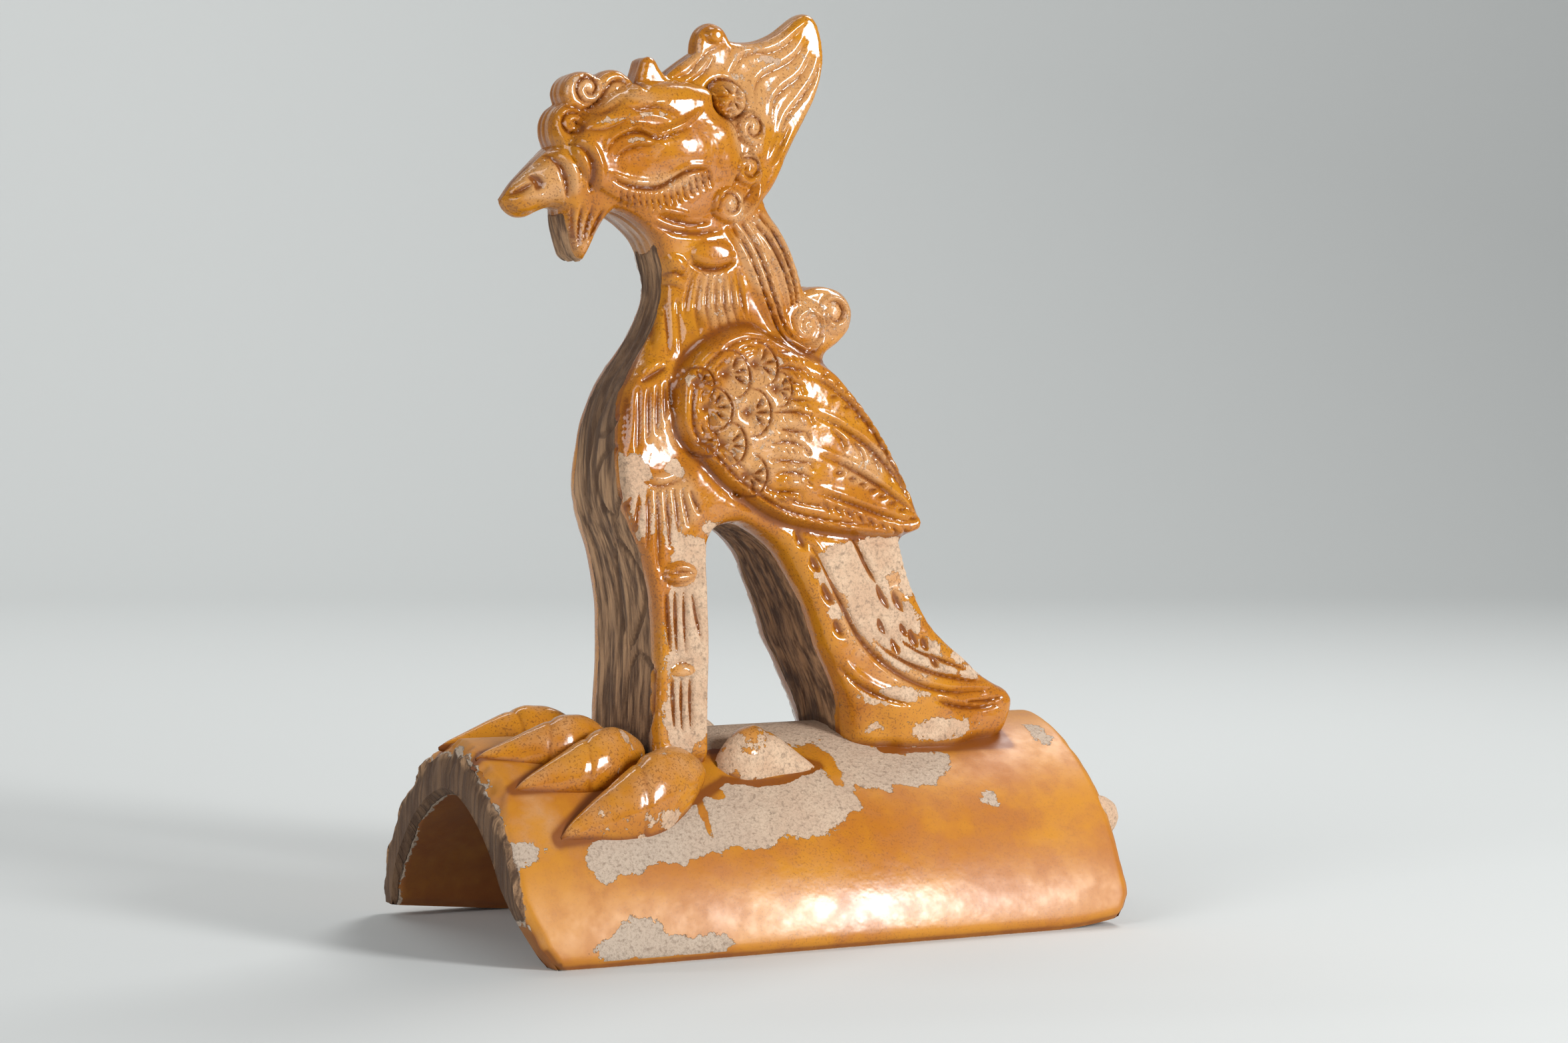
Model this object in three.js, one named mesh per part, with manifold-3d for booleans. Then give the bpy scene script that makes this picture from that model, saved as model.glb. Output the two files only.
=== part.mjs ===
// Ridge tile with a standing phoenix, in lead-glazed earthenware.
// A half-barrel roof tile carries a bird pressed in two mirrored halves, and both are luted
// together and fired as one piece, so the model is one solid in one mesh.
// X runs along the tile, the bird looks towards -X and the tile rests on the plane Z = 0.
import * as THREE from "three";
import { mergeVertices } from "three/addons/utils/BufferGeometryUtils.js";
import Module from "manifold-3d";

// Driving dimensions, in millimetres.
const TILE_LENGTH = 245;
const TILE_WIDTH = 150;
const TILE_HEIGHT = 74;
const FLANK_WALL = 15; // wall of the tile at its two bottom edges
const CROWN_WALL = 20; // wall of the tile under the bird
const ARCH_POWER = 1.7; // 2 would be a true ellipse, less is a leaner shoulder
const FIGURE_HEIGHT = 266; // from the tile's ridge to the tip of the crest
const WING_RELIEF = 4; // how far the wings stand out of the body
const CARVING_DEPTH = 1.5; // grooves and ribs of the figure
const STUB_REACH = 9; // broken clay left at the tile's back end
const CORNER_LIFT = 5; // warp of the far front corner off the ground

const wasm = await Module();
wasm.setup();

// A closed three.js geometry as a solid that can be joined and cut.
function solid(geometry) {
  const bare = geometry.clone();
  bare.deleteAttribute("normal");
  bare.deleteAttribute("uv");
  const merged = mergeVertices(bare, 1e-4);
  const mesh = new wasm.Mesh({
    numProp: 3,
    vertProperties: merged.attributes.position.array,
    triVerts: new Uint32Array(merged.index.array),
  });
  return new wasm.Manifold(mesh);
}

// The same geometry with every vertex moved by a function of its place.
function bent(geometry, move) {
  const places = geometry.attributes.position;
  const place = new THREE.Vector3();
  for (let i = 0; i < places.count; i++) {
    move(place.fromBufferAttribute(places, i));
    places.setXYZ(i, place.x, place.y, place.z);
  }
  return geometry;
}

function box(length, width, height, x, y, z, turnX = 0, turnY = 0, turnZ = 0) {
  const made = new THREE.BoxGeometry(length, width, height);
  made.rotateX(turnX);
  made.rotateY(turnY);
  made.rotateZ(turnZ);
  return solid(made.translate(x, y, z));
}

function joined(pieces) {
  return wasm.Manifold.union(pieces);
}

// Half of the tile's arch: across and up at an angle from its bottom edge, 0, to its crown.
function archPoint(angle, halfWidth, height) {
  const across = halfWidth * Math.cos(angle) ** (2 / ARCH_POWER);
  const up = height * Math.sin(angle) ** (2 / ARCH_POWER);
  return [across, up];
}

// Height of the tile's outer face at a distance from its middle plane.
function tileTop(y) {
  const share = Math.min(Math.abs(y) / (TILE_WIDTH / 2), 1);
  return TILE_HEIGHT * (1 - share ** ARCH_POWER) ** (1 / ARCH_POWER);
}

function archOutline(halfWidth, height, steps) {
  const points = [];
  for (let i = 0; i <= steps; i++) {
    const turn = (Math.PI * i) / steps;
    const half = Math.max(Math.min(turn, Math.PI - turn), 0);
    const [across, up] = archPoint(half, halfWidth, height);
    points.push(new THREE.Vector2(turn > Math.PI / 2 ? -across : across, up));
  }
  return points;
}

// Turns a section drawn across the tile, and extruded along Z, to lie along the tile.
const ALONG_TILE = new THREE.Matrix4().set(0, 0, 1, 0, 1, 0, 0, 0, 0, 1, 0, 0, 0, 0, 0, 1);

function tile() {
  const outer = archOutline(TILE_WIDTH / 2, TILE_HEIGHT, 26);
  const inner = archOutline(TILE_WIDTH / 2 - FLANK_WALL, TILE_HEIGHT - CROWN_WALL, 20);
  const section = new THREE.Shape([...outer, ...inner.reverse()]);
  const barrel = new THREE.ExtrudeGeometry(section, { depth: TILE_LENGTH, bevelEnabled: false });
  barrel.translate(0, 0, -TILE_LENGTH / 2);
  return solid(barrel.applyMatrix4(ALONG_TILE)).subtract(tileDamage());
}

// Knocks at the tile's ends: how deep each one bites, in millimetres, and its slope, in radians.
const CORNER_KNOCK = { depth: 8, slope: -0.5 };
const CROWN_KNOCK = { depth: 7, slope: -0.6 };
const SHOULDER_KNOCK = { depth: 5, slope: -0.5 };
const BACK_KNOCK = { depth: 4, slope: 0.5 };
const WARP_LENGTH = 50; // how far behind the front the far corner starts to lift
const BACK_WARP = { lift: 2, slope: -0.12 };
const CUTTER = 40; // edge of the blocks that cut the knocks away

// Knocked corners and edges of the tile, and the warp that lifts two corners off the ground.
function tileDamage() {
  const half = CUTTER / 2;
  const front = -TILE_LENGTH / 2;
  const back = TILE_LENGTH / 2;
  const side = TILE_WIDTH / 2;
  const knock = (size, x, y, z, slope) => box(size[0], size[1], size[2], x, y, z, 0, slope, 0);
  const inFront = ({ depth }) => front - half + depth;
  const long = [CUTTER, side, CUTTER * 2];
  const wide = [CUTTER, side, CUTTER];
  const cube = [CUTTER, CUTTER, CUTTER];
  const plate = [WARP_LENGTH * 2, CUTTER, half];
  const warp = Math.atan(CORNER_LIFT / WARP_LENGTH);
  return joined([
    knock(long, inFront(CORNER_KNOCK), -side, CORNER_KNOCK.depth / 2, CORNER_KNOCK.slope),
    knock(wide, inFront(CROWN_KNOCK), 0, TILE_HEIGHT + CUTTER / 3, CROWN_KNOCK.slope),
    knock(cube, inFront(SHOULDER_KNOCK), side * 0.8, TILE_HEIGHT * 0.85, SHOULDER_KNOCK.slope),
    knock(plate, front, side, CORNER_LIFT - half / 2, warp),
    knock(plate, back, -side, BACK_WARP.lift - half / 2, BACK_WARP.slope),
    knock(cube, back + half - BACK_KNOCK.depth, -side, 0, BACK_KNOCK.slope),
  ]);
}

// Broken clay on the back end, in the wall of the near flank.
function stub() {
  const lump = new THREE.SphereGeometry(1, 10, 7);
  lump.scale(STUB_REACH * 1.4, FLANK_WALL / 2, STUB_REACH);
  const y = -TILE_WIDTH / 2 + FLANK_WALL * 1.7;
  return solid(lump.translate(TILE_LENGTH / 2 - STUB_REACH * 0.4, y, TILE_HEIGHT / 2));
}

// The figure is drawn from its side, with x along the tile and heights from the ground, on a
// sheet where the tile's ridge lies at 74 and the crest's tip at 340. It is scaled from there.
const SHEET_RIDGE = 74;
const SHEET_TIP = 340;
const scale = FIGURE_HEIGHT / (SHEET_TIP - SHEET_RIDGE);

function placed([x, z]) {
  return new THREE.Vector2(x * scale, TILE_HEIGHT + (z - SHEET_RIDGE) * scale);
}

// Outline of head, neck, breast, leg, arch and tail, from the beak's tip over the crest.
const HEAD = [
  [-101, 270], [-91.5, 280], [-81.5, 289], [-76, 296], [-70, 304], [-60, 309], [-48, 312],
  [-40, 315], [-33, 319], [-26, 324],
];
const CREST = [
  [-10, 328], [0, 329.5], [8, 332], [15.5, 338], [21, 340], [25, 338], [27.5, 328], [26, 316],
  [21, 305], [15, 296], [10.5, 288], [7, 280], [2, 273],
];
const NAPE = [
  [0, 268], [6, 259], [11.5, 248], [14.5, 239], [20, 238], [28, 238], [34.5, 234.5], [36.5, 228.5],
  [33.5, 221], [26, 215], [19.5, 211],
];
const BACK = [
  [29, 197], [39.5, 182], [48.5, 166], [53, 154], [51.5, 147], [49, 142], [51.5, 133], [55, 122],
  [61, 111], [70, 103], [80, 96], [90, 88.5], [97, 85], [99.5, 81], [97, 75], [90, 56],
];
const ARCH = [
  [31, 56], [29.5, 66], [27.5, 75], [25.5, 83], [22.5, 91], [19, 99], [15.5, 106], [13, 114],
  [10, 122], [5, 131], [1, 139], [-8, 148], [-17, 151.5], [-24, 151], [-30, 147], [-31.5, 140],
  [-31, 110], [-32.5, 56],
];
const FRONT = [
  [-53, 56], [-52.8, 88], [-51.7, 105], [-52.2, 120], [-56, 140], [-60.8, 150], [-63.5, 162],
  [-63.5, 172], [-62.5, 188], [-58.5, 202], [-48.5, 215], [-43, 226], [-41, 236], [-42, 246],
  [-46, 256], [-53, 262], [-62, 266], [-85, 268], [-90, 266.5], [-95, 265.5], [-100, 267],
];

// Half-thickness of the figure at places on the sheet, in sheet millimetres: x, z, half.
const FULLNESS = [
  [-101, 269, 5], [-86, 277, 9], [-72, 302, 9], [-68, 283, 17], [-50, 290, 22], [-30, 288, 23],
  [-43, 312, 9], [-12, 300, 12], [14, 325, 5.5], [-13, 328, 5.5], [12, 290, 7], [-5, 275, 12],
  [-35, 268, 20], [-60, 268, 16], [-42, 237, 12], [-22, 240, 17], [5, 243, 14], [29, 228, 9],
  [-47, 215, 14], [-58, 198, 17], [-42, 190, 25], [-62, 172, 24], [-58, 152, 28], [-20, 215, 26],
  [-10, 185, 30], [20, 200, 28], [45, 160, 28], [-20, 155, 30], [-42, 130, 29], [-42, 80, 30],
  [15, 140, 29], [45, 135, 29], [30, 110, 31], [60, 108, 29], [30, 80, 32], [62, 78, 30],
  [85, 86, 27], [98, 80, 22],
];
const BLEND = 13; // reach of each place, in sheet millimetres

function fullness(sheetX, sheetZ) {
  let sum = 0;
  let weights = 0;
  for (const [placeX, placeZ, half] of FULLNESS) {
    const distance = ((sheetX - placeX) ** 2 + (sheetZ - placeZ) ** 2) / BLEND ** 2;
    const weight = 1 / (0.05 + distance) ** 2;
    sum += weight * half;
    weights += weight;
  }
  return sum / weights;
}

// The figure's sides are flat facets between the points of a square grid over the sheet.
const GRID = { left: -106, low: 54, cell: 22, columns: 10, rows: 13 };

function halfThickness(x, z) {
  const across = (x / scale - GRID.left) / GRID.cell;
  const up = ((z - TILE_HEIGHT) / scale + SHEET_RIDGE - GRID.low) / GRID.cell;
  const [column, row] = [Math.floor(across), Math.floor(up)];
  const [u, v] = [across - column, up - row];
  const lineX = (i) => GRID.left + (column + i) * GRID.cell;
  const lineZ = (j) => GRID.low + (row + j) * GRID.cell;
  const corner = (i, j) => fullness(lineX(i), lineZ(j));
  const slopes =
    u > v
      ? u * (corner(1, 0) - corner(0, 0)) + v * (corner(1, 1) - corner(1, 0))
      : v * (corner(0, 1) - corner(0, 0)) + u * (corner(1, 1) - corner(0, 1));
  return (corner(0, 0) + slopes) * scale;
}

// A block over the whole sheet whose near face follows the figure's thickness, raised by lift.
function faceBlock(lift = 0) {
  const [width, height] = [GRID.columns * GRID.cell, GRID.rows * GRID.cell];
  const block = new THREE.BoxGeometry(width, 2, height, GRID.columns, 1, GRID.rows);
  block.translate(GRID.left + width / 2, 0, GRID.low + height / 2);
  bent(block, (place) => {
    const spot = placed([place.x, place.z]);
    const face = -fullness(place.x, place.z) * scale - lift;
    place.set(spot.x, place.y > 0 ? 1 : face, spot.y);
  });
  return solid(block);
}

// An outline of sheet points as a slab through the figure, between two depths.
function slab(points, nearY, farY) {
  const shape = new THREE.Shape(points.map(placed));
  const made = new THREE.ExtrudeGeometry(shape, { depth: farY - nearY, bevelEnabled: false });
  made.rotateX(Math.PI / 2);
  return solid(made.translate(0, farY, 0));
}

function bodyBlank() {
  const outline = [...HEAD, ...CREST, ...NAPE, ...BACK, ...ARCH, ...FRONT];
  const thick = 60 * scale;
  const footLevel = TILE_HEIGHT - CROWN_WALL * 0.7;
  const foot = box(TILE_LENGTH * 2, thick * 4, TILE_HEIGHT * 2, 0, 0, footLevel - TILE_HEIGHT);
  const block = joined(mirrored([faceBlock()]));
  return block.intersect(slab(outline, -thick, thick)).subtract(foot);
}

// A strip of three-sided section laid along a curve on the figure's near face, thinner at its
// ends. Its ridge stands depth out of the face, or into it where depth is negative, and its flat
// side lies beyond the face. lift moves it out to a raised plate.
function strip(points, width, depth, steps, lift = 0, endShare = 0.35) {
  const curve = new THREE.SplineCurve(points.map(placed));
  const rod = new THREE.CylinderGeometry(1, 1, 1, 3, steps);
  return solid(
    bent(rod, (place) => {
      const along = place.y + 0.5;
      const middle = curve.getPoint(along);
      const tangent = curve.getTangent(along);
      const swell = endShare + (1 - endShare) * Math.sin(Math.PI * along) ** 0.6;
      const across = Math.sign(depth) * place.x * width * 0.7 * scale * swell;
      const out = (place.z > 0 ? depth * swell : -depth) * scale;
      const face = halfThickness(middle.x, middle.y) + lift;
      place.set(middle.x + tangent.y * across, -face - out, middle.y - tangent.x * across);
    }),
  );
}

const groove = (points, width = 2.6, steps = 6) => strip(points, width, -CARVING_DEPTH, steps);
const stroke = (points, width, lift = 0) => strip(points, width, -CARVING_DEPTH, 1, lift, 0.8);
const rib = (points, width = 3, steps = 6) => strip(points, width, CARVING_DEPTH, steps);

// A round boss on the near face, as a low dome.
function boss(x, z, radius, height, sides = 8) {
  const spot = placed([x, z]);
  const dome = new THREE.SphereGeometry(radius * scale, sides, 4);
  dome.scale(1, height / radius, 1);
  return solid(dome.translate(spot.x, -halfThickness(spot.x, spot.y), spot.y));
}

// A spiral from its outer end inwards, as sheet points.
function spiral(x, z, radius, start, turns, count = 9) {
  const points = [];
  for (let i = 0; i < count; i++) {
    const share = i / (count - 1);
    const angle = start + turns * 2 * Math.PI * share;
    const reach = radius * (1 - 0.75 * share);
    points.push([x + reach * Math.cos(angle), z + reach * Math.sin(angle)]);
  }
  return points;
}

// Grooves that spread downwards like the feathers under a small crescent.
function fan(left, right, top, drop, spread, count, lean = 0) {
  const strokes = [];
  for (let i = 0; i < count; i++) {
    const share = i / (count - 1) - 0.5;
    const x = (left + right) / 2 + share * (right - left);
    const low = drop * (1 - 0.9 * share * share);
    strokes.push(stroke([[x, top], [x + share * spread + lean, top - low]], 2.6));
  }
  return strokes;
}

// Half-thicknesses of thin pieces of the head, in sheet millimetres.
const SCROLL_HALF = 8;
const HORN_HALF = 6;
const BEARD_HALF = 10;

// Pieces of the head that stand out of its outline: beard, horn, forehead scrolls and knob.
function headPieces() {
  const beard = [
    [-80.5, 270], [-78.5, 260], [-76, 251], [-74, 248], [-72, 250.5], [-68, 258], [-64.5, 264],
    [-61, 270],
  ];
  const horn = [[-50, 308], [-47, 321.5], [-43, 321.5], [-37.5, 312]];
  const scrolls = [
    [-80, 290], [-81, 297], [-78.5, 303], [-76.5, 306], [-76.5, 311], [-72.5, 315.5], [-66, 314.5],
    [-63, 316], [-58, 315.5], [-54, 312.5], [-51, 309], [-54, 306], [-68, 300], [-74, 290],
  ];
  const knob = new THREE.CylinderGeometry(6.5 * scale, 6.5 * scale, 11 * scale, 12);
  const knobSpot = placed([-17.5, 329.5]);
  return [
    slab(beard, -BEARD_HALF * scale, BEARD_HALF * scale),
    slab(horn, -HORN_HALF * scale, HORN_HALF * scale),
    slab(scrolls, -SCROLL_HALF * scale, SCROLL_HALF * scale),
    solid(knob.translate(knobSpot.x, 0, knobSpot.y)),
  ];
}

function headRelief() {
  return [
    boss(-17, 308.5, 6.5, 3.5),
    boss(-10, 297.5, 5.5, 3),
    boss(-10, 282, 5.5, 3),
    boss(-18, 267.5, 6, 3),
    rib([[-67, 290], [-62, 295], [-54, 297.5], [-45, 295], [-36, 298], [-29, 303]], 3.6, 8),
    rib([[-63, 287], [-56, 291], [-47, 290]], 3, 5),
    rib([[-64, 276], [-56, 274.5], [-48, 274], [-40, 278], [-30, 281]], 3.6, 8),
    rib([[-13, 272], [-7, 276], [-4, 283], [-3, 293], [0, 303]], 3.4, 7),
    rib([[-44, 263], [-36, 260.5], [-27, 261.5], [-20, 262]], 3.2, 6),
  ];
}

function headGrooves() {
  return [
    groove([[-89, 286], [-83, 280], [-80, 272]], 2.4, 5),
    groove([[-80, 290], [-73, 284], [-71, 274]], 2.6, 5),
    groove([[-98, 272.5], [-92, 275.5], [-88, 278]], 3, 4),
    groove([[-72, 298], [-60, 297.5], [-52, 303]], 2.2, 5),
    groove([[-60, 303], [-50, 304], [-40, 302]], 2.2, 5),
    groove([[-31, 314], [-20, 319], [-10, 326]], 2.6, 5),
    groove([[-11, 313], [-4, 321], [8, 326], [19, 335]], 2.8, 7),
    groove([[-2, 304], [3, 314], [13, 321], [22, 334]], 2.8, 7),
    groove([[4, 298], [9, 309], [18, 316], [24, 328]], 2.8, 7),
    groove([[-76, 267], [-74.5, 258], [-74.5, 251]], 2, 4),
    groove([[-70, 267], [-71, 260], [-73, 254]], 2, 4),
  ];
}

// A groove in the flat side of the forehead scrolls.
function scrollGroove(points, steps) {
  const spot = placed(points[0]);
  const lift = SCROLL_HALF * scale - halfThickness(spot.x, spot.y);
  return strip(points, 2.2, -CARVING_DEPTH, steps, lift);
}

// Short strokes under the cheek's edge and spirals in the curls.
function headStrokes() {
  const strokes = [
    scrollGroove(spiral(-74, 296.5, 5, 0.6, -1, 6), 6),
    scrollGroove(spiral(-68, 310.5, 5, 3.6, 1, 6), 6),
    scrollGroove([[-63, 306], [-59, 312], [-54, 311]], 4),
    groove(spiral(-10, 297.5, 4, 2.2, -0.9, 6), 1.9, 5),
    groove(spiral(-10, 282, 4, 2.2, -0.9, 6), 1.9, 5),
    groove(spiral(-18, 267.5, 4.4, 3.4, -0.9, 6), 1.9, 5),
  ];
  for (let i = 0; i < 8; i++) {
    const x = -60 + i * 4.3;
    const top = 272 + Math.max(0, i - 3);
    strokes.push(stroke([[x, top], [x + 1, top - 5]], 1.8));
  }
  return strokes;
}

function neckRelief() {
  const lockEnd = spiral(15, 226, 8, -1.9, 0.9, 7);
  return [
    boss(15, 226, 6.5, 3),
    rib([[-17, 258], [-10, 249], [-5, 237], [-1, 225], [6, 217], ...lockEnd], 5, 14),
    rib([[-10, 263], [-2, 252], [4, 241], [8, 231]], 5, 6),
  ];
}

// Small crescents above the fans, and the knob on the thigh.
function crescents() {
  return [
    rib([[-31, 247], [-25, 245], [-17, 247]], 4, 3),
    rib([[-53, 205], [-47, 207], [-43, 210]], 4, 3),
    rib([[-57, 168], [-50, 166.5], [-42, 168]], 4, 3),
    boss(-45, 134, 6, 2.5),
    rib([[-46, 100], [-42, 99], [-38, 100]], 3.6, 3),
  ];
}

// Fans of small feathers down the neck, the breast and the leg.
function breastStrokes() {
  return [
    ...fan(-30, -15, 243, 21, 8, 5),
    ...fan(-58, -44, 201, 22, 8, 4, -3),
    ...fan(-57, -38, 164, 18, 6, 5, -2),
    ...fan(-47, -37, 127, 22, 3, 3),
    ...fan(-46, -38, 96, 20, 2, 3),
    groove([[-45, 236], [-46, 224], [-48, 213]], 2.6, 3),
    groove([[-40, 236], [-41, 224], [-41, 213]], 2.6, 3),
  ];
}

function neckGrooves() {
  return [
    groove([[-5, 262], [4, 250], [9, 238]], 2, 5),
    groove(spiral(26, 228.5, 5.5, 2.4, -1, 6), 2.2, 6),
  ];
}

// Outline of a wing on the sheet, from its shoulder over the back edge to the tip.
const WING = [
  [-41.5, 192], [-40.5, 203], [-35.5, 212], [-28, 219], [-18, 223], [-8.5, 222.5], [-1.5, 218],
  [6, 214], [17, 208.5], [26.5, 200.5], [36.5, 188.5], [44.5, 176], [51, 161.5], [55.5, 152],
  [54, 147.5], [47, 146], [31.5, 146.5], [17, 148.5], [2, 151.5], [-7, 155.5], [-17, 161],
  [-26.5, 168.5], [-34.5, 177.5], [-39.5, 185],
];

// Edges of the long feathers, from the middle of the wing to its tip.
const QUILLS = [
  [[12, 203], [28, 192], [39, 178], [48, 162]],
  [[11, 190], [25, 184], [38, 173], [51, 156]],
  [[12, 177], [25, 170], [38, 163], [51, 153]],
  [[10, 162], [25, 158], [38, 153], [50, 150]],
];

// A wing as a plate that follows the body's face at a set height above it.
function wingPlate() {
  return faceBlock(WING_RELIEF).intersect(slab(WING, -60 * scale, 0));
}

function wingGrooves() {
  const cut = (points, width, steps) => strip(points, width, -CARVING_DEPTH, steps, WING_RELIEF);
  const border = [...WING.slice(18), ...WING.slice(0, 6)];
  const inner = border.map(([x, z]) => [x + (-2 - x) * 0.13, z + (186 - z) * 0.13]);
  const grooves = [cut(inner, 2.8, 13)];
  for (const [x, z] of [[-24, 206], [-9, 207], [-27, 192], [-14, 192], [-22, 178], [-12, 169]]) {
    const scaleEdge = [[x - 2, z + 7], [x + 6, z + 5], [x + 7, z - 3], [x + 1, z - 7]];
    grooves.push(cut(scaleEdge, 2.2, 3));
  }
  for (let i = 0; i < 6; i++) {
    const z = 209 - i * 9;
    grooves.push(stroke([[-3 - i * 0.6, z], [8 - i * 0.2, z - 2]], 2.4, WING_RELIEF));
  }
  for (const quill of QUILLS) grooves.push(cut(quill, 2.6, 5));
  return grooves;
}

// Slanted ticks between the long feathers.
function wingStrokes() {
  return QUILLS.slice(0, 3).flatMap((quill) => {
    const curve = new THREE.SplineCurve(quill.map(([x, z]) => new THREE.Vector2(x, z)));
    return [0.25, 0.45, 0.65].map((share) => {
      const { x, y } = curve.getPoint(share);
      return stroke([[x + 1, y - 3.5], [x + 6, y - 5]], 2.2, WING_RELIEF);
    });
  });
}

function tailGrooves() {
  return [
    groove([[12, 146], [20, 128], [28, 110], [42, 96], [62, 87], [90, 87]], 3.2, 10),
    groove([[29, 144], [37, 131], [46, 115], [60, 101], [82, 92]], 3, 8),
    groove([[22, 98], [32, 88], [52, 80], [90, 80]], 3, 8),
    groove([[38, 140], [46, 126], [56, 112], [72, 99]], 2.8, 7),
  ];
}

function tailStrokes() {
  const leaves = [[14, 134], [20, 117], [42, 122], [41, 111], [50, 108]];
  return leaves.map(([x, z]) => stroke([[x, z + 4], [x + 2, z - 4]], 3));
}

// Three toes to the front and one behind, on each side of the ridge.
// Each toe: root x, root y, tip x, tip y, height of its knuckle.
const TOES = [
  [-59, -13, -119, -19, 13],
  [-51, -21, -111, -37, 13],
  [-34, -33, -100, -54, 14],
  [-30, -31, 10, -35, 13],
];

// A toe as a tapering rod that climbs over its knuckle and lies down to the claw's tip.
function toe([rootX, rootY, tipX, tipY, height]) {
  const rod = new THREE.CylinderGeometry(1, 1, 1, 6, 6);
  const heading = new THREE.Vector2(tipX - rootX, tipY - rootY).normalize();
  return solid(
    bent(rod, (place) => {
      const along = place.y + 0.5;
      const x = (rootX + (tipX - rootX) * along) * scale;
      const y = (rootY + (tipY - rootY) * along) * scale;
      const waist = 1 - 0.2 * Math.exp(-(((along - 0.62) / 0.09) ** 2));
      const girth = Math.max(0.1, Math.sin(Math.PI * (0.3 + 0.7 * along)) ** 0.75) * waist;
      const side = place.x * 8 * scale * girth;
      const up = place.z * height * scale * girth;
      const spotY = y - heading.x * side;
      place.set(x + heading.y * side, spotY, tileTop(spotY) + up - 1.5 * scale);
    }),
  );
}

function mirrored(pieces) {
  return pieces.flatMap((piece) => [piece, piece.mirror([0, 1, 0])]);
}

function phoenix() {
  const raised = mirrored([...headRelief(), ...neckRelief(), wingPlate(), ...TOES.map(toe)]);
  const cuts = mirrored([...headGrooves(), ...neckGrooves(), ...wingGrooves(), ...tailGrooves()]);
  const fine = [...headStrokes(), ...breastStrokes(), ...wingStrokes(), ...tailStrokes()];
  const body = joined([bodyBlank(), ...headPieces(), ...raised, ...crescents()]);
  return body.subtract(joined([...cuts, ...fine]));
}

// The inside of the barrel and everything below the ground stay clear of the figure.
function barrelHollow() {
  const inner = archOutline(TILE_WIDTH / 2 - FLANK_WALL, TILE_HEIGHT - CROWN_WALL, 20);
  const below = [
    new THREE.Vector2(-TILE_WIDTH, 0),
    new THREE.Vector2(-TILE_WIDTH, -TILE_HEIGHT),
    new THREE.Vector2(TILE_WIDTH, -TILE_HEIGHT),
    new THREE.Vector2(TILE_WIDTH, 0),
  ];
  const core = new THREE.Shape([...inner, ...below]);
  const made = new THREE.ExtrudeGeometry(core, { depth: TILE_LENGTH * 2, bevelEnabled: false });
  made.translate(0, 0, -TILE_LENGTH);
  return solid(made.applyMatrix4(ALONG_TILE));
}

function ridgeTile() {
  const whole = joined([tile(), stub(), phoenix()]).subtract(barrelHollow());
  const body = whole.decompose().sort((a, b) => b.volume() - a.volume())[0];
  const mesh = body.getMesh();
  const geometry = new THREE.BufferGeometry();
  geometry.setAttribute("position", new THREE.BufferAttribute(mesh.vertProperties, 3));
  geometry.setIndex(new THREE.BufferAttribute(mesh.triVerts, 1));
  geometry.computeVertexNormals();
  const glaze = new THREE.MeshStandardMaterial({ color: 0xc07a22, roughness: 0.25, metalness: 0 });
  const made = new THREE.Mesh(geometry, glaze);
  made.name = "phoenix_ridge_tile";
  made.position.x = -STUB_REACH / 2; // the origin is the middle of the whole length
  return made;
}

const part = new THREE.Group();
part.add(ridgeTile());

export default part;
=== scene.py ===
import math

import bmesh
import bpy
import numpy as np
from bpy.props import FloatProperty, FloatVectorProperty, IntProperty, PointerProperty
from mathutils import Matrix, Vector
from mathutils.geometry import delaunay_2d_cdt


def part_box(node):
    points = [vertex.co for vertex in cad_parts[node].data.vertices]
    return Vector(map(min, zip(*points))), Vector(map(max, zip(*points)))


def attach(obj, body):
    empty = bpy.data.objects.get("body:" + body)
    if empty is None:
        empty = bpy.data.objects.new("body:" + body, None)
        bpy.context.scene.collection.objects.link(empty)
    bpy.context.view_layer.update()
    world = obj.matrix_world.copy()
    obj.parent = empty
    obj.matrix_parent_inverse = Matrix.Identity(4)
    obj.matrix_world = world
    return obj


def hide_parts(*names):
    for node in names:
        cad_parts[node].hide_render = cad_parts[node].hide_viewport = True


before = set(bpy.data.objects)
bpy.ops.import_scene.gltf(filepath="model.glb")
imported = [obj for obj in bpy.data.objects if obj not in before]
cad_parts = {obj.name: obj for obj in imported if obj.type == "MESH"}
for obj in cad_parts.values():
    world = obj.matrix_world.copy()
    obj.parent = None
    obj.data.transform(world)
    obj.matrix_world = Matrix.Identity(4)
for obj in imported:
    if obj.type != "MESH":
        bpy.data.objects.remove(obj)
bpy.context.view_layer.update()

bl_info = {
    "name": "Phoenix ridge tile",
    "version": (1, 0, 0),
    "blender": (4, 5, 0),
    "location": "3D View > Sidebar > Ridge tile",
    "description": "Makes an amber-glazed ridge tile with a standing phoenix",
    "category": "Add Mesh",
}

NODE = "phoenix_ridge_tile"
LOW, HIGH = (np.array(corner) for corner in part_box(NODE))

# The figure is drawn on a sheet in millimetres: x along the tile, heights from the ground.
SHEET_TIP = 340.0
METRE = (HIGH[2] - LOW[2]) / SHEET_TIP
STUB_REACH = 9.0
TILE_LENGTH = (HIGH[0] - LOW[0]) / METRE - STUB_REACH
TILE_WIDTH = (HIGH[1] - LOW[1]) / METRE
TILE_HEIGHT = 74.0
ARCH_POWER = 1.7
MIDDLE = -STUB_REACH / 2
END = TILE_LENGTH / 2

# Steps of the arrays: cells of a noise table, samples of a curve's span, points handled at once.
NOISE_CELLS = 32
SPAN_SAMPLES = 16
BLOCK = 4000


# Arrays, curves and noise


def to_frame(points):
    """Sheet millimetres to the frame's metres: shifted along the tile, then scaled."""
    return (np.asarray(points) + [MIDDLE, 0.0, 0.0]) * METRE + [0.0, 0.0, LOW[2]]


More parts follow.
